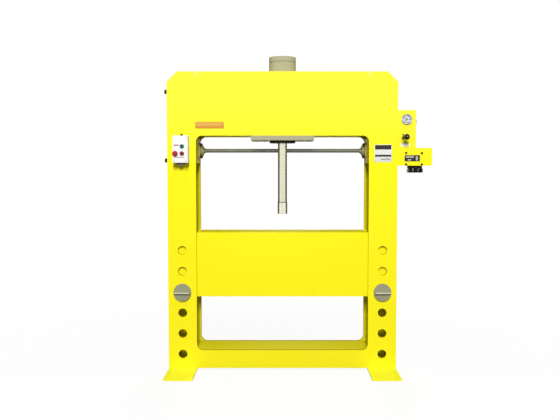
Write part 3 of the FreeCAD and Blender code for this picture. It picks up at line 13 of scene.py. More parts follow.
import bpy
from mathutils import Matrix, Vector


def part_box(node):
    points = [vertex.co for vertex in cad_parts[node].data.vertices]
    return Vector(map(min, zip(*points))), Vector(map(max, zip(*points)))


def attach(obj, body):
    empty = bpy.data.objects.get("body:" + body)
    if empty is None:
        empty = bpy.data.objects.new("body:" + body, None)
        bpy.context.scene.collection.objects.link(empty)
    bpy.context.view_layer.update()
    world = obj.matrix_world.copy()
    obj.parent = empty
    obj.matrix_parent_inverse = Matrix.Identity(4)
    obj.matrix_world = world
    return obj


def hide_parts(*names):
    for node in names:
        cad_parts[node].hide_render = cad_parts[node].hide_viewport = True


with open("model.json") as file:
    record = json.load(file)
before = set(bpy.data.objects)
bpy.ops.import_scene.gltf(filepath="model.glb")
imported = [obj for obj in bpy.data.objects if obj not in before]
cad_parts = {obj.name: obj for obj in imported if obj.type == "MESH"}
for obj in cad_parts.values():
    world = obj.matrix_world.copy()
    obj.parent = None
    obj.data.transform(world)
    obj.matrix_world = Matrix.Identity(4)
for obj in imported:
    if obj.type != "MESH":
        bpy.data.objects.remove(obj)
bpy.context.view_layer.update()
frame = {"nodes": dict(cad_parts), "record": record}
slot_of = {part["node"]: part["material_slot"] for part in frame["record"]["subparts"]}
body_of = {
    node: body
    for body, nodes in frame["record"]["behaviour"]["bodies"].items()
    for node in nodes
}

# %% [markdown]
# ## Shared tools
# Every piece starts as a primitive and is shaped with the same few steps, so those steps are
# functions. An operator works on whatever is selected, and loading leaves the model selected, so
# each function first clears the selection. `settle` gives a finished piece its material and says
# which body carries it. What repeats is modelled once and copied to the places of a grid or round
# an axis, each copy with its own mesh, and the copies are joined, so that a row of screws is one
# piece.

# %% Selection, finishing and seating
def alone(*objects):
    """Select only these objects, in object mode, with the last one active."""
    if bpy.context.object and bpy.context.object.mode != "OBJECT":
        bpy.ops.object.mode_set(mode="OBJECT")
    bpy.ops.object.select_all(action="DESELECT")
    for item in objects:
        item.select_set(True)
        bpy.context.view_layer.objects.active = item


def tidy(item, smooth=35):
    """Fix the object's place in its mesh, close its seams and point its faces outwards."""
    alone(item)
    bpy.ops.object.transform_apply(location=True, rotation=True, scale=True)
    bpy.ops.object.mode_set(mode="EDIT")
    bpy.ops.mesh.select_all(action="SELECT")
    bpy.ops.mesh.remove_doubles(threshold=0.00001)
    bpy.ops.mesh.normals_make_consistent(inside=False)
    bpy.ops.object.mode_set(mode="OBJECT")
    bpy.ops.object.shade_smooth_by_angle(angle=math.radians(smooth))
    return item


def join(name, items):
    """Several finished shapes as one piece."""
    alone(*items)
    bpy.ops.object.join()
    bpy.context.object.name = name
    return bpy.context.object


def settle(item, material, body="frame"):
    item.data.materials.clear()
    item.data.materials.append(material)
    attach(item, body)
    return item


print("tools ready")

# %% [markdown]
# ## Two basic shapes
# Most fittings are either blocks with softened edges or turned pieces. A block is a cube, scaled
# and bevelled. A turned piece could be spun from a profile, but a circle that is extruded and
# resized ring by ring needs no separate outline, and each step reads as one cut on a lathe.

# %% Blocks and turned pieces
ROUND_SIDES = 40
WAYS = {
    "z": (0, 0, 0),
    "-z": (math.pi, 0, 0),
    "x": (0, math.pi / 2, 0),
    "-x": (0, -math.pi / 2, 0),
    "y": (-math.pi / 2, 0, 0),
    "-y": (math.pi / 2, 0, 0),
}


def block(name, low, high, edge=0.001, steps=2):
    """A block between two corners, with all its edges rounded."""
    alone()
    middle = [(a + b) / 2 for a, b in zip(low, high)]
    size = [b - a for a, b in zip(low, high)]
    bpy.ops.mesh.primitive_cube_add(size=1, location=middle, scale=size)
    item = bpy.context.object
    item.name = name
    bpy.ops.object.transform_apply(location=True, rotation=True, scale=True)
    bpy.ops.object.mode_set(mode="EDIT")
    bpy.ops.mesh.select_all(action="SELECT")
    bpy.ops.mesh.bevel(offset=edge, segments=steps, affect="EDGES")
    return tidy(item)


def turned(name, place, way, rings, sides=ROUND_SIDES):
    """A turned piece from (radius, height) rings, standing at a place along a named way."""
    alone()
    radius, height = rings[0]
    bpy.ops.mesh.primitive_circle_add(vertices=sides, radius=radius, fill_type="NGON",
                                      location=(0, 0, height))
    item = bpy.context.object
    item.name = name
    bpy.ops.object.transform_apply(location=True, rotation=True, scale=True)
    bpy.ops.object.mode_set(mode="EDIT")
    bpy.ops.mesh.select_all(action="SELECT")
    for next_radius, next_height in rings[1:]:
        rise = {"value": (0, 0, next_height - height)}
        bpy.ops.mesh.extrude_region_move(TRANSFORM_OT_translate=rise)
        ratio = next_radius / radius
        bpy.ops.transform.resize(value=(ratio, ratio, 1), center_override=(0, 0, next_height))
        radius, height = next_radius, next_height
    bpy.ops.object.mode_set(mode="OBJECT")
    item.rotation_euler = WAYS[way]
    item.location = place
    return tidy(item)


def hex_head(name, place, way, flats, height):
    """A hexagon head with the chamfer that turning leaves on its corners."""
    corner = flats / 2 / math.cos(math.pi / 6)
    chamfer = height * 0.82
    return turned(name, place, way, [(corner, 0), (corner, chamfer), (flats / 2, height)], sides=6)


print("turned pieces have", ROUND_SIDES, "sides")

# %% Measuring and repeating
def centre_of(node):
    """The middle of a solid's box, and the box's size."""
    low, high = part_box(node)
    return (low + high) / 2, high - low


def grid(xs, ys, zs):
    """Every place where these values of x, y and z meet."""
    return [(x, y, z) for x in xs for y in ys for z in zs]


def repeated(item, places):
    """The piece at its first place, and a copy with its own mesh at each further place."""
    items = [item]
    for place in places[1:]:
        alone(item)
        bpy.ops.object.duplicate()
        bpy.ops.transform.translate(value=Vector(place) - Vector(places[0]))
        bpy.ops.object.transform_apply(location=True, rotation=False, scale=False)
        items.append(bpy.context.object)
    return items


def turned_round(item, angles, axis, centre):
    """Copies of the piece, turned about an axis through a centre by these angles."""
    items = []
    for angle in angles:
        alone(item)
        bpy.ops.object.duplicate()
        bpy.ops.object.mode_set(mode="EDIT")
        bpy.ops.mesh.select_all(action="SELECT")
        bpy.ops.transform.rotate(value=angle, orient_axis=axis, center_override=centre)
        items.append(tidy(bpy.context.object))
    bpy.data.objects.remove(item)
    return items


def turned_set(name, places, way, rings, material, sides=24):
    """The same turned shape at every place, as one finished piece."""
    items = repeated(turned("one_of_" + name, places[0], way, rings, sides=sides), places)
    return settle(join(name, items), material)


def hex_set(name, places, way, flats, height, material):
    """The same hexagon head at every place, as one finished piece."""
    items = repeated(hex_head("one_of_" + name, places[0], way, flats, height), places)
    return settle(join(name, items), material)


print("a grid of 2 x 2 has", len(grid((0, 1), (0,), (0, 1))), "places")

# %% [markdown]
# ## Finishes that several pieces share
# Sprayed paint is never one flat colour: it has a slow drift of tone over a large plate, a fine
# orange-peel skin, and a little dust near the floor. Brushed or turned steel has fine scratches
# that run one way. Moulded plastic has a faint grain. Each of these is used by several materials,
# so each is one node group, built once. A group gives out only colours, values and normals, and
# the shader stays in the material.

# %% Small helpers for node groups
def new_group(name, inputs, outputs):
    """An empty shader group with named sockets."""
    group = bpy.data.node_groups.new(name, "ShaderNodeTree")
    for label, kind, value in inputs:
        socket = group.interface.new_socket(name=label, in_out="INPUT", socket_type=kind)
        socket.default_value = value
    for label, kind in outputs:
        group.interface.new_socket(name=label, in_out="OUTPUT", socket_type=kind)
    return group, group.nodes.new("NodeGroupInput"), group.nodes.new("NodeGroupOutput")


def add(tree, kind, **settings):
    """A node whose settings and input values are given by name, or by number as in_1."""
    node = tree.nodes.new(kind)
    for label, value in settings.items():
        if label.startswith("in_"):
            socket = label[3:].replace("_", " ")
            node.inputs[int(socket) if socket.isdigit() else socket].default_value = value
        else:
            setattr(node, label, value)
    return node


def wire(tree, rows):
    """Link a node's output to a node's input, one link for each row."""
    for source, output, target, entry in rows:
        tree.links.new(source.outputs[output], target.inputs[entry])


# A Mix node names its sockets alike for every kind of data, so its colours are reached by number.
FIRST, SECOND, BLENDED = 6, 7, 2
BLACK, WHITE = (0, 0, 0, 1), (1, 1, 1, 1)


def mix(tree, first=WHITE, second=BLACK):
    """A node that mixes two colours, by default or by link."""
    node = add(tree, "ShaderNodeMix", data_type="RGBA")
    node.inputs[FIRST].default_value, node.inputs[SECOND].default_value = first, second
    return node


FLOAT, COLOUR, VECTOR = "NodeSocketFloat", "NodeSocketColor", "NodeSocketVector"
OUTPUTS = [("Colour", COLOUR), ("Roughness", FLOAT), ("Normal", VECTOR)]

# %% Painted skin
painted, given, result = new_group("painted_skin", [
    ("Colour", COLOUR, (0.8, 0.8, 0.8, 1)), ("Deep Colour", COLOUR, (0.7, 0.7, 0.7, 1)),
    ("Roughness", FLOAT, 0.35), ("Peel", FLOAT, 0.1), ("Dust", FLOAT, 0.2), ("Fade", FLOAT, 0.0),
], OUTPUTS)
place = add(painted, "ShaderNodeTexCoord")
drift = add(painted, "ShaderNodeTexNoise", in_Scale=1.6, in_Detail=3.0, in_Roughness=0.5)
tone = mix(painted)
peel = add(painted, "ShaderNodeTexNoise", in_Scale=260.0, in_Detail=2.0)
skin = add(painted, "ShaderNodeBump", in_Distance=0.0006)
height = add(painted, "ShaderNodeSeparateXYZ")
low = add(painted, "ShaderNodeMapRange", in_From_Min=0.0, in_From_Max=0.35, in_To_Min=1.0, in_To_Max=0.0)
speck = add(painted, "ShaderNodeTexNoise", in_Scale=42.0, in_Detail=6.0, in_Roughness=0.65)
patch = add(painted, "ShaderNodeMapRange", in_From_Min=0.45, in_From_Max=0.72)
amount = add(painted, "ShaderNodeMath", operation="MULTIPLY")
mask = add(painted, "ShaderNodeMath", operation="MULTIPLY")
dusty = mix(painted, second=(0.42, 0.39, 0.30, 1))
rough = add(painted, "ShaderNodeMath", operation="MULTIPLY_ADD", in_1=0.35)
# Above 1.35 m the colour is drawn towards white, so the paint is paler towards the top: a painted sheen.
high = add(painted, "ShaderNodeMapRange", in_From_Min=1.35, in_From_Max=1.75)
sheen_share = add(painted, "ShaderNodeMath", operation="MULTIPLY")
sheen_mix = mix(painted, second=WHITE)
wire(painted, [
    (place, "Object", drift, "Vector"), (place, "Object", peel, "Vector"),
    (place, "Object", speck, "Vector"), (place, "Object", height, "Vector"),
    (drift, "Fac", tone, "Factor"), (given, "Colour", tone, FIRST), (given, "Deep Colour", tone, SECOND),
    (height, "Z", low, "Value"), (speck, "Fac", patch, "Value"),
    (low, "Result", amount, 0), (patch, "Result", amount, 1),
    (amount, "Value", mask, 0), (given, "Dust", mask, 1), (mask, "Value", dusty, "Factor"),
    (height, "Z", high, "Value"), (high, "Result", sheen_share, 0), (given, "Fade", sheen_share, 1),
    (sheen_share, "Value", sheen_mix, "Factor"), (tone, BLENDED, sheen_mix, FIRST), (sheen_mix, BLENDED, dusty, FIRST),
    (mask, "Value", rough, 0), (given, "Roughness", rough, 2),
    (given, "Peel", skin, "Strength"), (peel, "Fac", skin, "Height"),
    (dusty, BLENDED, result, "Colour"), (rough, "Value", result, "Roughness"),
    (skin, "Normal", result, "Normal"),
])
print("painted_skin has", len(painted.nodes), "nodes")

# %% Worked metal: scratches that run one way
worked, given, result = new_group("worked_metal", [
    ("Colour", COLOUR, (0.6, 0.6, 0.6, 1)), ("Stain Colour", COLOUR, (0.4, 0.38, 0.33, 1)),
    ("Roughness", FLOAT, 0.3), ("Scratch", FLOAT, 0.2), ("Grain", VECTOR, (60.0, 60.0, 4.0)),
], OUTPUTS)
place = add(worked, "ShaderNodeTexCoord")
stretch = add(worked, "ShaderNodeVectorMath", operation="MULTIPLY")
scratch = add(worked, "ShaderNodeTexNoise", in_Scale=7.0, in_Detail=5.0, in_Roughness=0.7)
cloud = add(worked, "ShaderNodeTexNoise", in_Scale=9.0, in_Detail=4.0)
stain = add(worked, "ShaderNodeMapRange", in_From_Min=0.42, in_From_Max=0.75, in_To_Max=0.6)
tone = mix(worked)
lines = add(worked, "ShaderNodeBump", in_Distance=0.0004)
rough = add(worked, "ShaderNodeMath", operation="MULTIPLY_ADD", in_1=0.12)
wire(worked, [
    (place, "Object", stretch, 0), (given, "Grain", stretch, 1), (stretch, "Vector", scratch, "Vector"),
    (place, "Object", cloud, "Vector"), (cloud, "Fac", stain, "Value"), (stain, "Result", tone, "Factor"),
    (given, "Colour", tone, FIRST), (given, "Stain Colour", tone, SECOND),
    (scratch, "Fac", rough, 0), (given, "Roughness", rough, 2),
    (given, "Scratch", lines, "Strength"), (scratch, "Fac", lines, "Height"),
    (tone, BLENDED, result, "Colour"), (rough, "Value", result, "Roughness"),
    (lines, "Normal", result, "Normal"),
])
print("worked_metal has", len(worked.nodes), "nodes")

# %% Moulded plastic and rubber
moulded, given, result = new_group("moulded_skin", [
    ("Colour", COLOUR, (0.5, 0.5, 0.5, 1)), ("Worn Colour", COLOUR, (0.45, 0.45, 0.45, 1)),
    ("Roughness", FLOAT, 0.4), ("Grain", FLOAT, 0.1),
], OUTPUTS)
place = add(moulded, "ShaderNodeTexCoord")
wear = add(moulded, "ShaderNodeTexNoise", in_Scale=14.0, in_Detail=4.0)
tone = mix(moulded)
grain = add(moulded, "ShaderNodeTexNoise", in_Scale=900.0, in_Detail=1.0)
skin = add(moulded, "ShaderNodeBump", in_Distance=0.0002)
rough = add(moulded, "ShaderNodeMath", operation="MULTIPLY_ADD", in_1=0.1)
wire(moulded, [
    (place, "Object", wear, "Vector"), (place, "Object", grain, "Vector"), (wear, "Fac", tone, "Factor"),
    (given, "Colour", tone, FIRST), (given, "Worn Colour", tone, SECOND),
    (wear, "Fac", rough, 0), (given, "Roughness", rough, 2),
    (given, "Grain", skin, "Strength"), (grain, "Fac", skin, "Height"),
    (tone, BLENDED, result, "Colour"), (rough, "Value", result, "Roughness"),
    (skin, "Normal", result, "Normal"),
])
print("moulded_skin has", len(moulded.nodes), "nodes")

# %% [markdown]
# ## The materials
# A material is one of these groups in front of a Principled shader. Paint and plastic are
# dielectrics, so their shine comes from the roughness and the specular level, and only the polished
# knob has a clear coat. Steel is metallic, so its colour is the colour of its reflection. Numbers
# that are the same all over a piece are set on the shader itself.

# %% Make a material from a shared group
COAT_ROUGHNESS = 0.1


def shade(name, group, values, metallic=0.0, coat=0.0, gloss=0.5):
    """A material: a shared group's colour, roughness and normal, and plain values on the shader."""
    material = bpy.data.materials.new(name)
    material.use_nodes = True
    tree = material.node_tree
    shader = tree.nodes["Principled BSDF"]
    look = tree.nodes.new("ShaderNodeGroup")
    look.node_tree = group
    for label, value in values.items():
        look.inputs[label].default_value = value
    wire(tree, [(look, "Colour", shader, "Base Color"), (look, "Roughness", shader, "Roughness"),
                (look, "Normal", shader, "Normal")])
    shader.inputs["Metallic"].default_value = metallic
    shader.inputs["Coat Weight"].default_value = coat
    shader.inputs["Coat Roughness"].default_value = COAT_ROUGHNESS
    shader.inputs["Specular IOR Level"].default_value = gloss
    return material


def paint(name, colour, deep, roughness=0.48, peel=0.12, dust=0.02, gloss=0.12, fade=0.0):
    """Sprayed enamel. Dust lies low on the press, and the fade is a paler tone high on it, a painted sheen.
    """
    values = {"Colour": (*colour, 1), "Deep Colour": (*deep, 1), "Roughness": roughness, "Peel": peel,
              "Dust": dust, "Fade": fade}
    return shade(name, painted, values, gloss=gloss)


def metal(name, colour, stain, roughness=0.3, scratch=0.15, grain=(60, 60, 4), metallic=1.0):
    """Turned or drawn steel, scratched along the axis whose grain is smallest."""
    values = {"Colour": (*colour, 1), "Stain Colour": (*stain, 1), "Roughness": roughness,
              "Scratch": scratch, "Grain": grain}
    return shade(name, worked, values, metallic=metallic)


def plastic(name, colour, worn, roughness=0.45, grain=0.12, coat=0.0):
    """Moulded plastic, rubber, card or printed foil."""
    values = {"Colour": (*colour, 1), "Worn Colour": (*worn, 1), "Roughness": roughness, "Grain": grain}
    return shade(name, moulded, values, coat=coat)


# %% Colours of the press
# The yellow's fade makes it paler high on the press: a painted sheen.
yellow = paint("yellow_enamel", (0.94, 0.845, 0.015), (0.92, 0.81, 0.012), fade=0.034)
# A darker, duller yellow for the faces inside the frame, the base web and the bolster's bed: painted shade.
inside_shade_yellow = paint("thin_inside_yellow", (0.68, 0.61, 0.006), (0.64, 0.575, 0.005), roughness=0.52,
                    gloss=0.03)
# A still darker yellow for the burned walls of the opening and the pin holes: painted shade.
edge_shade_yellow = paint("painted_shade_yellow_edges", (0.38, 0.34, 0.005), (0.34, 0.30, 0.004), roughness=0.55,
                    gloss=0.03)
# A brighter yellow for the feet: painted light on their lit tops.
lit_feet_yellow = paint("painted_light_feet_yellow", (0.97, 0.95, 0.045), (0.95, 0.92, 0.015))
light_yellow = paint("light_yellow_lacquer", (0.95, 0.92, 0.21), (0.93, 0.89, 0.18), roughness=0.4,
                     dust=0.0)
cream = paint("cream_primer", (0.42, 0.40, 0.26), (0.375, 0.355, 0.22), roughness=0.45, dust=0.0)
# The flange bearings take a dark olive: partly the colour of their casting, partly painted shade of the
# recess between the plates.
bearing_shade_olive = paint("olive_and_painted_shade", (0.33, 0.305, 0.12), (0.28, 0.255, 0.09), roughness=0.5,
                      peel=0.4, dust=0.0)
grey = paint("grey_hammer_finish", (0.24, 0.26, 0.28), (0.20, 0.22, 0.24), roughness=0.42, peel=0.5,
             dust=0.2)
steel = metal("machined_steel", (0.62, 0.61, 0.55), (0.42, 0.39, 0.30))
shaft_steel = metal("drawn_shaft_steel", (0.40, 0.40, 0.375), (0.32, 0.315, 0.28), grain=(3, 70, 70),
                    metallic=0.75)
pin_steel = metal("turned_pin_steel", (0.38, 0.375, 0.24), (0.32, 0.315, 0.19), roughness=0.45,
                  grain=(9, 50, 9), metallic=0.3)
# A pale steel for a strip on each pin's handle: a painted highlight.
handle_highlight_steel = metal("painted_highlight_steel", (0.80, 0.79, 0.66), (0.70, 0.68, 0.54), roughness=0.5,
                   grain=(4, 60, 60), metallic=0.2)
nose_steel = metal("ground_nose_steel", (0.92, 0.91, 0.74), (0.84, 0.83, 0.64), roughness=0.12,
                   scratch=0.03, metallic=0.9)
chrome = metal("hard_chrome", (0.84, 0.83, 0.64), (0.78, 0.76, 0.56), roughness=0.14, scratch=0.04)
zinc = metal("zinc_pipe", (0.55, 0.55, 0.50), (0.40, 0.37, 0.28), roughness=0.35)
black_steel = metal("blackened_steel", (0.030, 0.030, 0.028), (0.05, 0.045, 0.035), roughness=0.42)
chain_steel = metal("oiled_chain_steel", (0.16, 0.15, 0.14), (0.08, 0.07, 0.06), roughness=0.32)
cast_iron = paint("cast_iron_paint", (0.045, 0.047, 0.05), (0.03, 0.03, 0.03), roughness=0.5,
                  peel=0.6, dust=0.2)
white_shell = plastic("white_abs", (0.84, 0.84, 0.83), (0.80, 0.80, 0.78))
black_knob = plastic("black_phenolic", (0.006, 0.006, 0.006), (0.010, 0.010, 0.010), roughness=0.22, coat=0.2)
black_plain = plastic("black_nylon", (0.008, 0.008, 0.008), (0.014, 0.014, 0.014), roughness=0.4)
green_cap = plastic("green_cap", (0.006, 0.11, 0.06), (0.005, 0.085, 0.045), roughness=0.35)
dark_red_cap = plastic("dark_red_cap", (0.23, 0.016, 0.03), (0.18, 0.012, 0.022), roughness=0.35)
red_cap = plastic("red_cap", (0.42, 0.020, 0.045), (0.34, 0.015, 0.035), roughness=0.35)
rubber = plastic("seal_rubber", (0.020, 0.020, 0.020), (0.03, 0.03, 0.03), roughness=0.7, grain=0.3)
print("materials:", len(bpy.data.materials))

# %% [markdown]
# ## Clear and printed surfaces
# The gauge's lens is clear: a thin flat glass needs plain transmission and no colour. The dial is
# matt white card. The plates carry blank fields, so each is a foil of one colour with the slight
# unevenness of print.

# %% Glass, card and foils
glass = bpy.data.materials.new("clear_lens")
glass.use_nodes = True
lens_tree = glass.node_tree
lens_shader = lens_tree.nodes["Principled BSDF"]
lens_smear = add(lens_tree, "ShaderNodeTexNoise", in_Scale=35.0, in_Detail=2.0)
lens_range = add(lens_tree, "ShaderNodeMapRange", in_To_Min=0.02, in_To_Max=0.09)
wire(lens_tree, [
    (add(lens_tree, "ShaderNodeTexCoord"), "Object", lens_smear, "Vector"),
    (lens_smear, "Fac", lens_range, "Value"), (lens_range, "Result", lens_shader, "Roughness"),
])
lens_shader.inputs["Base Color"].default_value = WHITE
lens_shader.inputs["Transmission Weight"].default_value = 1.0
lens_shader.inputs["IOR"].default_value = 1.1

card = plastic("dial_card", (0.66, 0.69, 0.60), (0.62, 0.65, 0.56), roughness=0.6)
dial_band_ink = plastic("dial_band_ink", (0.53, 0.52, 0.74), (0.48, 0.47, 0.68), roughness=0.6)
foil_white = plastic("white_foil", (0.74, 0.74, 0.70), (0.68, 0.68, 0.64))
foil_pale = plastic("pale_foil", (0.90, 0.88, 0.60), (0.86, 0.84, 0.54))
foil_orange = plastic("orange_foil", (0.70, 0.31, 0.045), (0.62, 0.26, 0.035))
foil_sand = plastic("sand_foil", (0.72, 0.42, 0.10), (0.64, 0.36, 0.08))
foil_dark = plastic("slate_foil", (0.016, 0.014, 0.013), (0.03, 0.026, 0.024), roughness=0.4)
foil_silver = plastic("silver_foil", (0.50, 0.49, 0.46), (0.44, 0.43, 0.40))
foil_rose = plastic("rose_foil", (0.44, 0.15, 0.20), (0.36, 0.11, 0.16))
foil_grey = plastic("grey_foil", (0.30, 0.29, 0.27), (0.24, 0.23, 0.22))
bezel_blue = metal("polished_bezel", (0.68, 0.68, 0.78), (0.56, 0.56, 0.70), roughness=0.25)
print("materials:", len(bpy.data.materials))

# %% [markdown]
# ## Finish for each part of the model
# The record says which material each solid is made of. Where the press shows a finer difference
# than that, such as turned pins against drawn shafting, the node is named here.

# %% Paint the model
by_slot = {
    "yellow_paint": yellow, "cream_paint": cream, "grey_paint": grey, "bright_steel": steel,
    "chrome_rod": chrome, "dark_steel": black_steel, "white_plastic": white_shell,
    "black_plastic": black_plain, "green_plastic": green_cap, "red_plastic": red_cap,
    "seal_rubber": rubber, "dial_white": card, "gauge_glass": glass,
}
by_node = {
    "left_pin": pin_steel, "right_pin": pin_steel, "cross_shaft": shaft_steel,
    "lift_chains": chain_steel, "lever_knob": black_knob, "pump": cast_iron, "oil_pipes": zinc,
    "ram_nose": nose_steel, "gauge_case": bezel_blue, "start_button": green_cap, "piston_seal": rubber,
    # The base web and the bolster's bed lie under the bolster and the beam, and take the darker yellow as
    # painted shade.
    "base_web": inside_shade_yellow, "bolster_bed": inside_shade_yellow, "side_bolts": black_steel,
    "valve_lever": black_steel, "flange_bearings": bearing_shade_olive, "left_foot": lit_feet_yellow,
    "right_foot": lit_feet_yellow,
}
for name, node in frame["nodes"].items():
    node.data.materials.clear()
    node.data.materials.append(by_node.get(name, by_slot[slot_of[name]]))
print("painted", len(frame["nodes"]), "solids")

# %% [markdown]
# ## Edges that catch the light
# No burned, bent or cast piece has a perfectly sharp edge. A flame-cut plate has a small dressed
# radius, and a moulded cover a large one. The solids are sharp, so each gets a copy whose loose
# triangles are merged, cleared of flat seams and bevelled by angle, and the copy stands for the
# solid. A bevel modifier limited by angle rounds every true edge and leaves round walls alone. The
# smooth shading that a small bevel needs can cloud a large flat plate, so a weighted normal modifier
# then lets the largest faces decide, and the plates stay flat.

# %% A softened copy of a solid
EDGE_STEPS, SHARP_ANGLE = 2, math.radians(40)
WELDED, SAME_PLANE = 0.00002, math.radians(1)


def softened(node, edge):
    """A copy of a solid with rounded edges and flat faces, which stands for the solid."""
    item = bpy.data.objects.new(node + "_dressed", frame["nodes"][node].data.copy())
    bpy.context.scene.collection.objects.link(item)
    alone(item)
    bpy.ops.mesh.customdata_custom_splitnormals_clear()
    bpy.ops.object.mode_set(mode="EDIT")
    bpy.ops.mesh.select_all(action="SELECT")
    bpy.ops.mesh.remove_doubles(threshold=WELDED)
    bpy.ops.mesh.dissolve_limited(angle_limit=SAME_PLANE)
    bpy.ops.object.mode_set(mode="OBJECT")
    bevel = item.modifiers.new("edge", "BEVEL")
    bevel.width = edge
    bevel.segments = EDGE_STEPS
    bevel.limit_method = "ANGLE"
    bevel.angle_limit = SHARP_ANGLE
    bpy.ops.object.modifier_apply(modifier=bevel.name)
    bpy.ops.object.shade_smooth_by_angle(angle=SHARP_ANGLE)
    flatten = item.modifiers.new("flat_faces", "WEIGHTED_NORMAL")
    flatten.keep_sharp = True
    flatten.weight = 100
    bpy.ops.object.modifier_apply(modifier=flatten.name)
    settle(item, item.data.materials[0], body_of[node])
    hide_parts(node)
    return item


# The radius of the edges in metres, and the solids that have it.
EDGES = {
    0.0012: ["front_plate", "back_plate", "left_side_plate", "right_side_plate", "top_plate",
             "bolster_front_plate", "bolster_back_plate", "bolster_bed", "mount_plate",
             "cylinder_cap", "flange_bearings", "pump_shelf", "reservoir_lid", "valve_body"],
    0.0020: ["left_foot", "right_foot", "control_housing", "left_pin", "right_pin", "reservoir",
             "fan_cowl"],
    0.0006: ["bearing_bolts", "valve_bolts", "side_bolts", "gland_ring", "ram_nose", "sprockets",
             "wiring_duct", "bearing_plates"],
    0.0030: ["motor_housing", "pump", "oil_pipes", "valve_fittings"],
    0.0065: ["starter_cover", "starter_base"],
}
for edge, nodes in EDGES.items():
    for node in nodes:
        softened(node, edge)

# %% [markdown]
# ## Painted shade inside the frame
# The inside of the welded frame lies in shade, and that shade is painted into the colour: the faces
# that look inwards take a second, darker and duller yellow. The burned walls of the opening and of
# the pin holes, which are rougher, take a third yellow, darker still, as painted shade of the cut
# edges and the holes. A face is chosen by its direction and place, because one plate has all three kinds.

# %% Inward faces of the four wide plates, and burned edges, darkened as painted shade
def repaint(node, material, chosen):
    """Give the chosen faces of a dressed solid a further material, and count them."""
    mesh = bpy.data.objects[node + "_dressed"].data
    mesh.materials.append(material)
    faces = [face for face in mesh.polygons if chosen(face)]
    for face in faces:
        face.material_index = len(mesh.materials) - 1
    return len(faces)


INWARD = {
    "front_plate": (0, 1, 0), "back_plate": (0, -1, 0),
    "left_side_plate": (1, 0, 0), "right_side_plate": (-1, 0, 0),
}
# Faces that look inwards take the darker yellow: painted shade.
for node, way in INWARD.items():
    count = repaint(node, inside_shade_yellow, lambda face: face.normal.dot(Vector(way)) > 0.9)
    print(node, "has", count, "inward faces")

# The burned edges of a plate, which take the darkest yellow as painted shade, lie between its outer sides and
# below its cut corners.
OUTER_STRIP, CORNER_STRIP = 0.01, 0.08
for node in ("front_plate", "back_plate"):
    low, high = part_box(node)
    count = repaint(node, edge_shade_yellow, lambda face: (
        abs(face.normal.y) < 0.5
        and low.x + OUTER_STRIP < face.center.x < high.x - OUTER_STRIP
        and low.z + OUTER_STRIP < face.center.z < high.z - CORNER_STRIP))
    print(node, "has", count, "faces on its burned edges")

# %% [markdown]
# ## Motor starter
# The starter is a moulded white box with a green start button, a red stop button and a larger red
# mushroom button. Each button sits in a collar. The mushroom's cap is domed, so it is turned in
# rings that shrink towards its crown. Cable glands stand at the top and the bottom of the box.
# Three blank fields lie on the cover: a rose one, a grey one and a pale strip.

# %% Buttons with their collars
cover_low, cover_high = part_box("starter_cover")
face_y = cover_low.y


def push_button(node, material, body):
    """A shallow dished cap on its stem, which stands for the solid button."""
    middle, size = centre_of(node)
    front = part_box(node)[0].y
    radius, depth = size.x / 2, size.y
    item = turned(node + "_cap", (middle.x, front + depth, middle.z), "-y", [
        (radius * 0.8, 0), (radius, depth * 0.2), (radius, depth - 0.0015),
        (radius * 0.92, depth - 0.0003), (radius * 0.8, depth), (radius * 0.7, depth - 0.0012),
        (radius * 0.3, depth - 0.0016),
    ])
    settle(item, material, body)
    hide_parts(node)


push_button("start_button", green_cap, "start")
push_button("stop_button", dark_red_cap, "stop")

# %% Mushroom button
middle, size = centre_of("stop_mushroom")
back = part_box("stop_mushroom")[1].y
cap_radius, rise = size.x / 2, size.y
stem = 0.008
DOME_HEIGHT, DOME_STEPS = 0.010, 6
CROWN_ANGLE = math.pi / 2 * 0.97
under = rise - DOME_HEIGHT - 0.002
dome = [(stem * 0.9, 0), (stem, 0.001), (stem, under), (cap_radius * 0.94, under),
        (cap_radius, rise - DOME_HEIGHT)]
for step in range(1, DOME_STEPS + 1):
    lean = CROWN_ANGLE * step / DOME_STEPS
    dome.append((cap_radius * math.cos(lean), rise - DOME_HEIGHT + DOME_HEIGHT * math.sin(lean)))
mushroom = turned("mushroom_cap", (middle.x, back, middle.z), "-y", dome)
settle(mushroom, red_cap, "mushroom")
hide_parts("stop_mushroom")
print("mushroom cap", round(cap_radius * 2000), "mm across")

# %% Collars round the buttons
# Each collar's radius and how far it stands proud. The mushroom's stays low, clear of its cap.
collars = []
for node, reach, proud in (("start_button", 0.0155, 0.0026), ("stop_button", 0.0155, 0.0026),
                           ("stop_mushroom", 0.0125, 0.0016)):
    middle, size = centre_of(node)
    hole = (size.x / 2 if node != "stop_mushroom" else stem) + 0.0006
    collars.append(turned("collar", (middle.x, face_y + 0.0005, middle.z), "-y", [
        (reach, 0), (reach, proud - 0.0008), (reach - 0.0008, proud), (hole + 0.0004, proud),
        (hole, proud - 0.0006), (hole, 0.0004),
    ]))
settle(join("button_collars", collars), bezel_blue)
print("collars:", len(collars))

# %% Cable glands
gland_x = (cover_low.x + cover_high.x) / 2 + 0.004
gland_y = (cover_low.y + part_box("starter_base")[1].y) / 2
foot_z = cover_low.z
top_gland = turned("top_gland", (gland_x, gland_y, cover_high.z - 0.001), "z", [
    (0.0105, 0), (0.0105, 0.004), (0.0075, 0.0045), (0.0075, 0.0120), (0.0060, 0.0135),
], sides=24)
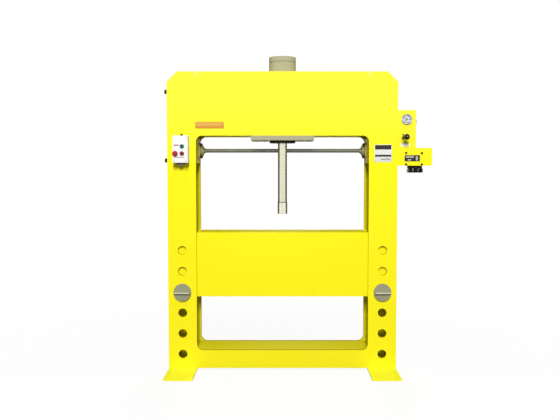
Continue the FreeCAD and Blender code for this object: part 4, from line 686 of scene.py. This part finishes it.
# The wide black block under the box is partly the cable entry and partly a painted shadow, which widens the
# dark band under the starter.
entry_and_shadow_block = block("entry_and_shadow_block", (gland_x - 0.040, gland_y - 0.026, foot_z - 0.0085),
                    (gland_x + 0.032, gland_y + 0.026, foot_z + 0.001), edge=0.0040, steps=3)
lower_gland = turned("lower_gland", (gland_x - 0.004, gland_y, foot_z - 0.006), "-z", [
    (0.0175, 0), (0.0175, 0.006), (0.0145, 0.008), (0.0145, 0.013), (0.012, 0.015), (0.0085, 0.0165),
], sides=24)
settle(join("starter_glands", [top_gland, entry_and_shadow_block, lower_gland]), black_plain)
lower_nut = hex_head("lower_nut", (gland_x - 0.004, gland_y, foot_z - 0.0105), "-z", 0.031, 0.006)
settle(lower_nut, steel)
print("glands at x", round(gland_x, 3))

# %% Blank fields and the cover's screws
FOIL = 0.0004


def field(name, x0, z0, x1, z1, material, y=face_y, proud=FOIL):
    """A thin foil with rounded edges, stuck on a front face."""
    item = block(name, (x0, y - proud, z0), (x1, y + proud, z1), edge=proud * 0.4, steps=1)
    return settle(item, material)


# Each field's name, colour and corners, measured from the cover's lower left corner.
for name, material, (x0, z0, x1, z1) in (
    ("start_field", foil_rose, (0.009, 0.108, 0.041, 0.116)),
    ("stop_field", foil_grey, (0.012, 0.033, 0.078, 0.038)),
    ("lower_field", white_shell, (0.014, 0.012, 0.080, 0.022)),
):
    field(name, cover_low.x + x0, cover_low.z + z0, cover_low.x + x1, cover_low.z + z1, material)
corners = grid((cover_low.x + 0.010, cover_high.x - 0.010), (face_y + 0.001,),
               (cover_low.z + 0.010, cover_high.z - 0.010))
turned_set("cover_screws", corners, "-y", [
    (0.0035, 0), (0.0035, 0.0012), (0.0028, 0.0020), (0.0010, 0.0020), (0.0010, 0.0008),
], steel, sides=16)
print("cover screws:", len(corners))

# %% [markdown]
# ## Pressure gauge
# The gauge has a polished rim that rolls over a flat lens, a white dial with a ring of marks, and a
# needle on a small hub. The rim is turned. A mark is one small block, copied round the dial by
# angle: modelling it once and turning copies keeps the spacing exact. Long marks alternate with
# short ones, as on any pressure dial.

# %% Rim of the gauge
gauge_middle, gauge_size = centre_of("gauge_case")
gauge_x, gauge_z = gauge_middle.x, gauge_middle.z
gauge_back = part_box("gauge_case")[1].y
panel_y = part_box("control_housing")[0].y
rim_radius = gauge_size.x / 2
lens_radius = centre_of("gauge_glass")[1].x / 2
panel = gauge_back - panel_y
front = gauge_size.y
gauge_rim = turned("gauge_rim", (gauge_x, gauge_back, gauge_z), "-y", [
    (rim_radius * 0.86, 0), (rim_radius * 0.885, 0.004), (rim_radius * 0.885, panel - 0.001),
    (rim_radius - 0.001, panel), (rim_radius, panel + 0.001), (rim_radius, front - 0.003),
    (rim_radius - 0.001, front - 0.001), (rim_radius - 0.003, front), (lens_radius + 0.0015, front - 0.001),
    (lens_radius + 0.0004, front - 0.002), (lens_radius + 0.0004, panel + 0.0016),
], sides=64)
settle(gauge_rim, bezel_blue)
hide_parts("gauge_case")
print("gauge rim", round(rim_radius * 2000), "mm across")

# %% Coloured band and marks on the dial
dial_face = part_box("gauge_dial")[0].y
band_outer, band_inner = lens_radius * 0.96, lens_radius * 0.70
dial_band = turned("dial_band", (gauge_x, dial_face + 0.0002, gauge_z), "-y", [
    (band_outer, 0), (band_outer, 0.0004), (band_inner, 0.0004), (band_inner, 0.0001),
], sides=64)
settle(dial_band, dial_band_ink)
MARK_COUNT, LONG_MARK_EVERY = 21, 5
FIRST_ANGLE = math.radians(-135)
MARK_STEP = math.radians(270) / (MARK_COUNT - 1)
marks = []
for is_long, start, width in ((True, 0.70, 0.0007), (False, 0.80, 0.0004)):
    mark = block("mark", (gauge_x - width, dial_face - 0.0005, gauge_z + lens_radius * start),
                 (gauge_x + width, dial_face + 0.0002, gauge_z + lens_radius * 0.90), edge=0.0001, steps=1)
    angles = [FIRST_ANGLE + number * MARK_STEP for number in range(MARK_COUNT)
              if (number % LONG_MARK_EVERY == 0) == is_long]
    marks += turned_round(mark, angles, "Y", (gauge_x, dial_face, gauge_z))
settle(join("dial_marks", marks), black_plain)
hub = turned("needle_hub", (gauge_x, dial_face - 0.0005, gauge_z), "-y", [
    (0.0035, 0), (0.0035, 0.0016), (0.0025, 0.0022), (0.0008, 0.0022),
], sides=24)
settle(hub, black_plain, "needle")
print("dial marks:", len(marks))

# %% [markdown]
# ## Lever guide, valve screws and plates on the control housing
# The lever comes forward through a slot, which a thin gate plate narrows to what the lever's swing
# needs. The slot could be a hole in the plate's outline, but cutting it with a boolean is one step
# and keeps its rounded ends. Two short ears on the lever show beside the ball. The valve's screws
# bear on washers in the panel's colour. The nameplate is riveted and has blank fields only.

# %% Gate plate over the lever's slot
lever_low, lever_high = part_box("valve_lever")
lever_x = (lever_low.x + lever_high.x) / 2
knob_low, knob_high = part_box("lever_knob")
lever_z = (knob_low.z + knob_high.z) / 2
SLOT_WIDTH, SLOT_HEIGHT = 0.033, 0.014
gate = block("gate_plate", (lever_x - 0.043, panel_y - 0.0022, lever_z - 0.014),
             (lever_x + 0.043, panel_y + 0.0003, lever_z + 0.014), edge=0.0008)
opening = block("opening", (lever_x - SLOT_WIDTH / 2, panel_y - 0.01, lever_z - SLOT_HEIGHT / 2),
                (lever_x + SLOT_WIDTH / 2, panel_y + 0.01, lever_z + SLOT_HEIGHT / 2), edge=0.0050, steps=3)
alone(gate)
slot_cut = gate.modifiers.new("slot", "BOOLEAN")
slot_cut.operation = "DIFFERENCE"
slot_cut.solver = "EXACT"
slot_cut.object = opening
bpy.ops.object.modifier_apply(modifier=slot_cut.name)
bpy.data.objects.remove(opening)
settle(tidy(gate), yellow)
turned_set("gate_screws", grid((lever_x - 0.037, lever_x + 0.037), (panel_y - 0.0020,), (lever_z,)), "-y",
           [(0.0030, 0), (0.0030, 0.0006), (0.0022, 0.0013), (0.0007, 0.0013)],
           yellow, sides=16)
print("gate slot", SLOT_WIDTH * 1000, "x", SLOT_HEIGHT * 1000, "mm")

# %% Ears on the lever, behind the knob
def rod(name, start, end, radius):
    """A round bar with rounded ends between any two points."""
    start, end = Vector(start), Vector(end)
    length = (end - start).length
    item = turned(name, (0, 0, 0), "z", [
        (radius * 0.5, 0), (radius, radius * 0.5), (radius, length - radius * 0.5), (radius * 0.5, length),
    ], sides=16)
    item.rotation_euler = (end - start).to_track_quat("Z", "Y").to_euler()
    item.location = start
    return tidy(item)


knob_back = knob_high.y
EAR_REACH = 0.027
ears = [rod("ear", (lever_x, knob_back + 0.004, lever_z + up * 0.002),
            (lever_x - EAR_REACH, knob_back + 0.006, lever_z + up * 0.0165), 0.0038) for up in (-1, 1)]
settle(join("lever_ears", ears), black_plain, body_of["valve_lever"])
print("ears reach", EAR_REACH * 1000, "mm beside the lever")

# %% Ball knob
ball_radius = (knob_high.x - knob_low.x) / 2
ball_middle = knob_low.y + ball_radius
BALL_STEPS = 14
BALL_START, BALL_TURN = math.radians(-62), math.radians(138)
ball_rings = [(0.0072, 0), (0.0080, 0.0010)]
for step in range(BALL_STEPS + 1):
    lean = BALL_START + BALL_TURN * step / BALL_STEPS
    height = knob_back - ball_middle + ball_radius * math.sin(lean)
    ball_rings.append((ball_radius * math.cos(lean), height))
ball_rings.append((ball_rings[-1][0] - 0.0012, ball_rings[-1][1] - 0.0010))
ball = turned("ball_knob", (lever_x, knob_back, lever_z), "-y", ball_rings)
settle(ball, black_knob, body_of["lever_knob"])
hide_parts("lever_knob")
# A small dull disc on the front of the black ball stands where the polished knob shows its glint: a painted
# highlight.
ball_highlight = turned("painted_knob_highlight", (lever_x, knob_low.y + 0.0022, lever_z), "-y", [
    (0.0031, 0), (0.0031, 0.0012), (0.0024, 0.0016), (0.0008, 0.0016)], sides=24)
settle(ball_highlight, pin_steel, body_of["lever_knob"])
print("ball knob", round(ball_radius * 2000), "mm across")

# %% Washers under the valve's screws
bolt_low, bolt_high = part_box("valve_bolts")
turned_set("valve_washers", grid((bolt_low.x + 0.0075, bolt_high.x - 0.0075), (panel_y + 0.0002,),
                                 (bolt_low.z + 0.0065, bolt_high.z - 0.0065)), "-y",
           [(0.0105, 0), (0.0105, 0.0012), (0.0098, 0.0018), (0.0060, 0.0018)],
           yellow, sides=28)

# %% Nameplate and blank plates
PLATE, INK, RIVET_INSET = 0.0010, 0.0003, 0.004


def riveted_plate(name, corners, front, material, fields):
    """A thin plate with a rivet in each corner, and blank fields placed by shares of its size."""
    x0, z0, x1, z1 = corners
    settle(block(name, (x0, front - PLATE, z0), (x1, front + PLATE / 2, z1), edge=PLATE / 4), material)
    inset = grid((x0 + RIVET_INSET, x1 - RIVET_INSET), (front - PLATE * 0.9,),
                 (z0 + RIVET_INSET, z1 - RIVET_INSET))
    turned_set(name + "_rivets", inset, "-y", [
        (0.0022, 0), (0.0020, 0.0006), (0.0012, 0.0011), (0.0004, 0.0013)], steel, sides=16)
    across, up = x1 - x0, z1 - z0
    for number, (a, b, c, d, colour) in enumerate(fields):
        field(f"{name}_field_{number}", x0 + a * across, z0 + b * up, x0 + c * across, z0 + d * up, colour,
              y=front - PLATE, proud=INK)


plate_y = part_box("front_plate")[0].y
riveted_plate("nameplate", (0.7947, 1.376, 0.8945, 1.416), panel_y, foil_dark, [
    (0.08, 0.60, 0.60, 0.84, foil_silver), (0.20, 0.14, 0.42, 0.34, foil_silver),
    (0.74, 0.14, 0.86, 0.84, foil_silver),
])
field("pale_strip", lever_x - 0.028, 1.471, lever_x + 0.036, 1.493, foil_pale, y=panel_y)
riveted_plate("column_plate", (0.599, 1.371, 0.711, 1.485), plate_y, foil_white, [
    (0.03, 0.72, 0.97, 0.97, foil_dark), (0.03, 0.31, 0.97, 0.42, foil_dark),
    (0.36, 0.14, 0.92, 0.20, foil_grey),
])
riveted_plate("beam_plate", (-0.566, 1.589, -0.380, 1.632), plate_y, foil_orange, [
    (0.06, 0.40, 0.94, 0.84, foil_sand),
])

# %% [markdown]
# ## Lifting bars
# Two bars run through the beam from front to back near its top corners, so that the press can be
# slung. Only their ground ends show. Each is a short turned end with a weld bead round it.

# %% Bar ends, front and back
BAR_X, BAR_Z = 0.5615, 1.940
back_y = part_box("back_plate")[1].y
bar_ends, beads = [], []
for y, way, inward in ((plate_y, "-y", 0.0005), (back_y, "y", -0.0005)):
    places = grid((-BAR_X, BAR_X), (y,), (BAR_Z,))
    bar_end = turned("bar_end", (-BAR_X, y + inward, BAR_Z), way, [
        (0.0125, 0), (0.0125, 0.0012), (0.0115, 0.0020), (0.0020, 0.0022)], sides=32)
    bar_ends += repeated(bar_end, places)
    alone()
    bpy.ops.mesh.primitive_torus_add(location=places[0], rotation=WAYS[way], major_radius=0.0138,
                                     minor_radius=0.0016, major_segments=32, minor_segments=8)
    beads += repeated(tidy(bpy.context.object, smooth=60), places)
settle(join("lifting_bar_ends", bar_ends), light_yellow)
settle(join("lifting_bar_beads", beads), yellow)
print("bar ends:", len(bar_ends))

# %% [markdown]
# ## Screws under the beam, and the ram's seam
# Six screws hold the gland ring from below, and eight larger ones hold the mount plate to the beam.
# Their heads are sunk almost flush, so only the rim of each stands out. Each kind is one list of
# rings, set round a circle or on a grid. The nose is a piece of its own on the ram, and a dark ring
# marks the seam above it.

# %% Screws under the beam
GLAND_SCREWS, GLAND_CIRCLE, SUNK = 6, 0.058, 0.0005
gland_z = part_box("gland_ring")[0].z + SUNK
mount_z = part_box("mount_plate")[0].z + SUNK
circle = []
for number in range(GLAND_SCREWS):
    angle = math.tau * (number + 0.5) / GLAND_SCREWS
    circle.append((GLAND_CIRCLE * math.cos(angle), GLAND_CIRCLE * math.sin(angle), gland_z))
turned_set("gland_screws", circle, "-z", [
    (0.0080, 0), (0.0080, 0.0009), (0.0076, 0.0013), (0.0045, 0.0013), (0.0038, 0.0006),
], black_steel)
under_beam = grid((-0.175, -0.118, 0.118, 0.175), (-0.095, 0.095), (mount_z,))
turned_set("mount_screws", under_beam, "-z", [
    (0.0135, 0), (0.0135, 0.0009), (0.0131, 0.0013), (0.0075, 0.0013), (0.0068, 0.0006),
], black_steel)
print("screws under the beam:", len(circle) + len(under_beam))

# %% Seam above the ram's nose
seam_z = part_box("ram_nose")[1].z
seam = turned("nose_seam", (0, 0, seam_z), "z", [
    (0.0300, 0), (0.0312, 0.0004), (0.0312, 0.0040), (0.0300, 0.0044),
], sides=64)
settle(seam, black_steel, "ram")
print("nose seam at", round(seam_z, 3))

# %% [markdown]
# ## Bolster pins
# Each pin has a round turned head with a flat bar welded across it as a handle. The solids carry
# both, so what is added here is the pair of small fillet welds between bar and head, and a light
# strip on the bar's front edge, a painted highlight where the bar catches the light. A weld bead
# could be sculpted, but a thin rod with shallow ripples reads the same at this size.

# %% A rippled weld bead, and the pin handles
RIPPLE_LENGTH = 0.006


def weld_bead(name, start, length, radius):
    """A bead from a point along x. Each ripple is one ring of the rod, pulled in."""
    count = max(4, int(length / RIPPLE_LENGTH))
    rings = [(radius * 0.6, 0)]
    for number in range(count):
        rings.append((radius, length * (number + 0.35) / count))
        rings.append((radius * 0.86, length * (number + 0.95) / count))
    return turned(name, start, "x", rings, sides=8)


HEAD_DEPTH, WELD_LENGTH = 0.016, 0.092
head_y = plate_y - HEAD_DEPTH
for side in ("left", "right"):
    pin = centre_of(side + "_pin")[0]
    handle_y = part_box(side + "_pin")[0].y
    places = grid((pin.x - WELD_LENGTH / 2,), (head_y,), (pin.z - 0.0055, pin.z + 0.0055))
    welds = repeated(weld_bead("weld", places[0], WELD_LENGTH, 0.0022), places)
    settle(join(side + "_pin_welds", welds), pin_steel, side + "_pin_body")
    # A pale strip on the handle's front edge, where the bar catches the light: a painted highlight.
    highlight_piece = block(side + "_pin_handle_highlight", (pin.x - 0.050, handle_y - 0.0004, pin.z - 0.0034),
                      (pin.x + 0.050, handle_y + 0.004, pin.z + 0.0034), edge=0.0012)
    settle(highlight_piece, handle_highlight_steel, side + "_pin_body")
print("pin heads at y", round(head_y, 3))

# %% Welds at the feet
FOOT_TOP, FOOT_WELD = 0.0125, 0.183
places = grid((-0.748, 0.565), (plate_y - 0.001, back_y + 0.001), (FOOT_TOP,))
foot_welds = repeated(weld_bead("foot_weld", places[0], FOOT_WELD, 0.0030), places)
settle(join("foot_welds", foot_welds), yellow)
print("foot welds:", len(foot_welds))

# %% [markdown]
# ## Side bolts and bearing details
# The two hexagon bolts on the left side bear on round washers, and each flange bearing has a
# pointed grease fitting above its hub. All are turned.

# %% Washers and grease fittings
side_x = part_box("left_side_plate")[0].x
bolt_y = centre_of("side_bolts")[0].y
turned_set("side_washers", grid((side_x + 0.0003,), (bolt_y,), (1.382, 1.830)), "-x", [
    (0.0135, 0), (0.0135, 0.0015), (0.0128, 0.0022), (0.0105, 0.0022)], black_steel, sides=32)
shaft = centre_of("cross_shaft")[0]
turned_set("grease_fittings", grid((-0.542, 0.542), (shaft.y,), (shaft.z + 0.0335,)), "z", [
    (0.0045, 0), (0.0045, 0.004), (0.0028, 0.0045), (0.0026, 0.008), (0.0036, 0.009),
    (0.0030, 0.0115), (0.0014, 0.0125),
], steel, sides=16)
print("washers and fittings added")

# %% [markdown]
# ## Motor, pump and tank behind the beam
# The power unit has the fittings that such a unit always has: a grille in the fan cowl, a lid with
# four screws and a cable gland on the terminal box, screws round the tank's lid, a ribbed breather
# cap, a level gauge, a drain plug, and screws in the pump's end. They are small, so each is turned
# or bevelled once and copied.

# %% Fan cowl grille
cowl_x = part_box("fan_cowl")[0].x
cowl = centre_of("fan_cowl")[0]
GRILLE_SLOTS, SLOT_LIFT = 12, 0.0001
slot_block = block("slot", (cowl_x - SLOT_LIFT, cowl.y - 0.0028, cowl.z + 0.024),
                   (cowl_x + 0.0012 - SLOT_LIFT, cowl.y + 0.0028, cowl.z + 0.058), edge=0.0005, steps=1)
angles = [math.tau * number / GRILLE_SLOTS for number in range(GRILLE_SLOTS)]
grille = turned_round(slot_block, angles, "X", (cowl_x, cowl.y, cowl.z))
settle(join("cowl_slots", grille), black_plain)
print("grille slots:", len(grille))

# %% Terminal box lid, gland and screws
def cap_screws(name, places, way, radius, height, material):
    """Turned heads with a socket sunk in each, as one finished piece."""
    turned_set(name, places, way, [
        (radius, 0), (radius, height - 0.0012), (radius - 0.0008, height - 0.0004),
        (radius - 0.0016, height), (radius * 0.58, height), (radius * 0.5, height * 0.4),
    ], material)


motor = centre_of("motor_housing")[0]
terminal_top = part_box("motor_housing")[1].z
BOX_HALF, LID_OVERHANG, SCREW_REACH = 0.042, 0.002, 0.034
lid_half = BOX_HALF + LID_OVERHANG
terminal_lid = block("terminal_lid", (motor.x - lid_half, motor.y - lid_half, terminal_top - 0.010),
                     (motor.x + lid_half, motor.y + lid_half, terminal_top + 0.0005), edge=0.002)
settle(terminal_lid, grey)
cap_screws("terminal_screws", grid((motor.x - SCREW_REACH, motor.x + SCREW_REACH),
                                   (motor.y - SCREW_REACH, motor.y + SCREW_REACH), (terminal_top,)),
           "z", 0.0040, 0.0035, steel)
motor_gland = turned("motor_gland", (motor.x, motor.y + BOX_HALF - 0.001, terminal_top - 0.026), "y", [
    (0.014, 0), (0.014, 0.006), (0.012, 0.008), (0.012, 0.016), (0.009, 0.020), (0.006, 0.021),
], sides=24)
settle(motor_gland, black_plain)
print("terminal box top at", round(terminal_top, 3))

# %% Tank lid screws, breather ribs, level gauge and drain plug
lid_low, lid_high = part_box("reservoir_lid")
tank_low, tank_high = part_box("reservoir")
tank_back = tank_high.y
LID_THICKNESS = 0.005
lid_z = tank_high.z + LID_THICKNESS
hex_set("tank_screws", grid((lid_low.x + 0.014, (lid_low.x + lid_high.x) / 2, lid_high.x - 0.014),
                            (lid_low.y + 0.012, lid_high.y - 0.012), (lid_z - 0.0003,)),
        "z", 0.010, 0.0045, steel)
BREATHER_X, BREATHER_RADIUS, RIB_COUNT, RIB_HALF = -0.500, 0.0238, 20, 0.0013
breather_y = tank_back - 0.034
angles = [math.tau * number / RIB_COUNT for number in range(RIB_COUNT)]
places = [(BREATHER_X + BREATHER_RADIUS * math.cos(angle),
           breather_y + BREATHER_RADIUS * math.sin(angle), lid_z) for angle in angles]
x, y = places[0][:2]
rib = block("rib", (x - RIB_HALF, y - RIB_HALF, lid_z + 0.008),
            (x + RIB_HALF, y + RIB_HALF, lid_z + 0.0285), edge=0.0006)
settle(join("breather_ribs", repeated(rib, places)), black_plain)
level_x = tank_high.x - 0.070
level_body = block("level_body", (level_x - 0.013, tank_back - 0.0005, tank_low.z + 0.045),
                   (level_x + 0.013, tank_back + 0.0045, tank_high.z - 0.030), edge=0.0025, steps=3)
places = grid((level_x,), (tank_back + 0.004,), (tank_low.z + 0.056, tank_high.z - 0.041))
level_bolts = repeated(hex_head("level_bolt", places[0], "y", 0.014, 0.0038), places)
settle(join("level_gauge_body", [level_body, *level_bolts]), black_plain)
level_glass = block("level_glass", (level_x - 0.0055, tank_back + 0.004, tank_low.z + 0.068),
                    (level_x + 0.0055, tank_back + 0.0058, tank_high.z - 0.053), edge=0.0008)
settle(level_glass, foil_white)
hex_set("drain_plug", [(tank_low.x + 0.060, tank_back - 0.0003, tank_low.z + 0.022)],
        "y", 0.019, 0.0070, black_steel)
print("tank fittings added")

# %% Pump and shelf fixings
pump_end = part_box("pump")[1].x
rotor_z = centre_of("motor_rotor")[0].z
cap_screws("pump_screws", grid((pump_end - 0.0003,), (motor.y - 0.028, motor.y + 0.028),
                               (rotor_z - 0.036, rotor_z + 0.036)),
           "x", 0.0055, 0.006, black_steel)
shelf_low, shelf_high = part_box("pump_shelf")
shelf_xs = (shelf_low.x + 0.030, shelf_low.x + 0.180, shelf_high.x - 0.180, shelf_high.x - 0.030)
hex_set("shelf_bolts", grid(shelf_xs, (shelf_low.y + 0.0057,), (shelf_high.z - 0.018,)),
        "y", 0.019, 0.008, black_steel)
print("pump and shelf fixings added")

# %% [markdown]
# ## Floor, background and light
# The press stands on a pale floor before a white background, in even, soft light. The background is
# white because of its own colour: what the camera, a reflection or a lens sees of the world has a
# strength of one, while the light that the world sheds is a plain ambient level. The floor is mixed
# in the same way, so it stays nearly white and still keeps a soft shadow. A lamp in front lights
# the plates evenly, and two narrow lamps stand in line with the frame at its sides, so that each
# column shades the inside of the other and the opening reads deep.

# %% Floor
def white_rays(tree):
    """The rays that see the white room: those of the camera, of reflections and through glass."""
    ray = add(tree, "ShaderNodeLightPath")
    seen = add(tree, "ShaderNodeMath", operation="MAXIMUM")
    either = add(tree, "ShaderNodeMath", operation="MAXIMUM")
    wire(tree, [(ray, "Is Camera Ray", seen, 0), (ray, "Is Glossy Ray", seen, 1),
                (seen, "Value", either, 0), (ray, "Is Transmission Ray", either, 1)])
    return ray, either


alone()
bpy.ops.mesh.primitive_plane_add(size=60, location=(0, 0, -0.0005))
floor = bpy.context.object
floor.name = "studio_floor"
floor_paper = bpy.data.materials.new("studio_paper")
floor_paper.use_nodes = True
tree = floor_paper.node_tree
paper = tree.nodes["Principled BSDF"]
paper.inputs["Roughness"].default_value = 0.9
tone = mix(tree, first=(0.30, 0.30, 0.30, 1), second=(0.92, 0.92, 0.92, 1))
glow = add(tree, "ShaderNodeEmission", in_Strength=1.0, in_Color=WHITE)
ray, either = white_rays(tree)
place = add(tree, "ShaderNodeTexCoord")
reach = add(tree, "ShaderNodeVectorMath", operation="LENGTH")
fade = add(tree, "ShaderNodeMapRange", in_From_Min=0.8, in_From_Max=3.5, in_To_Min=0.90, in_To_Max=1.0)
share = add(tree, "ShaderNodeMath", operation="MULTIPLY")
blend = add(tree, "ShaderNodeMixShader")
wire(tree, [
    (place, "Object", reach, 0), (reach, "Value", fade, "Value"), (fade, "Result", share, 1),
    (either, "Value", share, 0), (share, "Value", blend, "Fac"),
    (ray, "Is Camera Ray", tone, "Factor"), (tone, BLENDED, paper, "Base Color"),
    (paper, "BSDF", blend, 1), (glow, "Emission", blend, 2),
    (blend, "Shader", tree.nodes["Material Output"], "Surface"),
])
floor.data.materials.append(floor_paper)
print("floor from", -30, "to", 30, "m")

# %% World
AMBIENT = 0.08
world = bpy.data.worlds.new("white_studio")
bpy.context.scene.world = world
world.use_nodes = True
tree = world.node_tree
sky = tree.nodes["Background"]
sky.inputs["Color"].default_value = WHITE
ray, either = white_rays(tree)
level = add(tree, "ShaderNodeMapRange", in_To_Min=AMBIENT, in_To_Max=1.0)
wire(tree, [(either, "Value", level, "Value"), (level, "Result", sky, "Strength")])
print("ambient light:", AMBIENT)

# %% Lamps
def soft_lamp(name, place, target, width, height, power):
    """An area lamp that faces a point."""
    alone()
    bpy.ops.object.light_add(type="AREA", location=place)
    lamp = bpy.context.object
    lamp.name = name
    lamp.data.shape = "RECTANGLE"
    lamp.data.size, lamp.data.size_y, lamp.data.energy = width, height, power
    lamp.rotation_euler = (Vector(target) - Vector(place)).to_track_quat("-Z", "Y").to_euler()
    lamp.visible_glossy = False


soft_lamp("front_lamp", (0.0, -7.6, 4.7), (0, 0, 0.7), 0.9, 2.6, 715)
soft_lamp("top_lamp", (0, -1.4, 5.2), (0, 0, 0), 2.0, 2.0, 30)
soft_lamp("back_lamp", (0.4, 6.5, 3.6), (0, 0, 1.0), 2.6, 2.6, 290)
soft_lamp("left_lamp", (-6.0, 0.05, 2.4), (0, 0, 1.0), 0.2, 2.4, 60)
soft_lamp("right_lamp", (6.0, 0.05, 2.4), (0, 0, 1.0), 0.2, 2.4, 60)

# %% [markdown]
# ## Black flags
# Bright metal shows nothing but the room around it, and in an all-white room a chromed ram looks
# like white paper. Photographers stand black boards, called flags, beside and behind such an object,
# so that its edges get dark lines. They stand with gaps between them, so that the metal still shows
# the white room from every side. They are seen by reflections only, so they throw no shadow.

# %% Boards that only reflections see
flag_black = bpy.data.materials.new("flag_black")
flag_black.use_nodes = True
flag_shader = flag_black.node_tree.nodes["Principled BSDF"]
flag_shader.inputs["Base Color"].default_value = (0.03, 0.03, 0.03, 1)
flag_shader.inputs["Roughness"].default_value = 1.0
UPRIGHT, SIDEWAYS, LYING = (math.pi / 2, 0, 0), (math.pi / 2, 0, math.pi / 2), (0, 0, 0)
FLAGS = [
    ("back_flag_far_left", (-3.3, 3.2, 2.4), UPRIGHT, (1.8, 5.2)),
    ("back_flag_left", (-1.25, 3.2, 2.4), UPRIGHT, (1.7, 5.2)),
    ("back_flag_right", (1.25, 3.2, 2.4), UPRIGHT, (1.7, 5.2)),
    ("back_flag_far_right", (3.3, 3.2, 2.4), UPRIGHT, (1.8, 5.2)),
    ("left_flag", (-4.0, 1.6, 2.4), SIDEWAYS, (2.8, 5.2)),
    ("right_flag", (4.0, 1.6, 2.4), SIDEWAYS, (2.8, 5.2)),
    # The floor flag lies under and in front of the press and is seen only by reflections, so metal undersides
    # reflect black instead of the white floor: a painted dark reflection.
    ("floor_flag", (0, -2.5, 0.002), LYING, (8.0, 13.0)),
]
for name, place, turn, size in FLAGS:
    alone()
    bpy.ops.mesh.primitive_plane_add(size=1, location=place, rotation=turn)
    flag = bpy.context.object
    flag.name = name
    flag.scale = (*size, 1)
    flag.data.materials.append(flag_black)
    flag.visible_camera = flag.visible_diffuse = flag.visible_shadow = flag.visible_transmission = False
print("flags:", len(FLAGS))

# %% [markdown]
# ## Camera
# The photograph was taken from the front, a little above half the press's height and tilted down
# by three degrees. The distance, height and focal length come from fitting the corners of the frame
# and the feet. The small shift puts the picture's centre where the photograph has it.

# %% Camera at the photograph's place
CAMERA_BACK = 4.574
CAMERA_UP = 1.3385
TILT_DOWN = math.radians(2.985)
SENSOR, FOCAL_LENGTH = 36, 43.81
SHIFT_X, SHIFT_Y = -0.00436, -0.0131
alone()
bpy.ops.object.camera_add(location=(0, -CAMERA_BACK, CAMERA_UP), rotation=(math.pi / 2 - TILT_DOWN, 0, 0))
camera = bpy.context.object
camera.name = "front_camera"
camera.data.sensor_width, camera.data.lens = SENSOR, FOCAL_LENGTH
camera.data.shift_x, camera.data.shift_y = SHIFT_X, SHIFT_Y
bpy.context.scene.camera = camera
bpy.context.scene.view_settings.view_transform = "Standard"
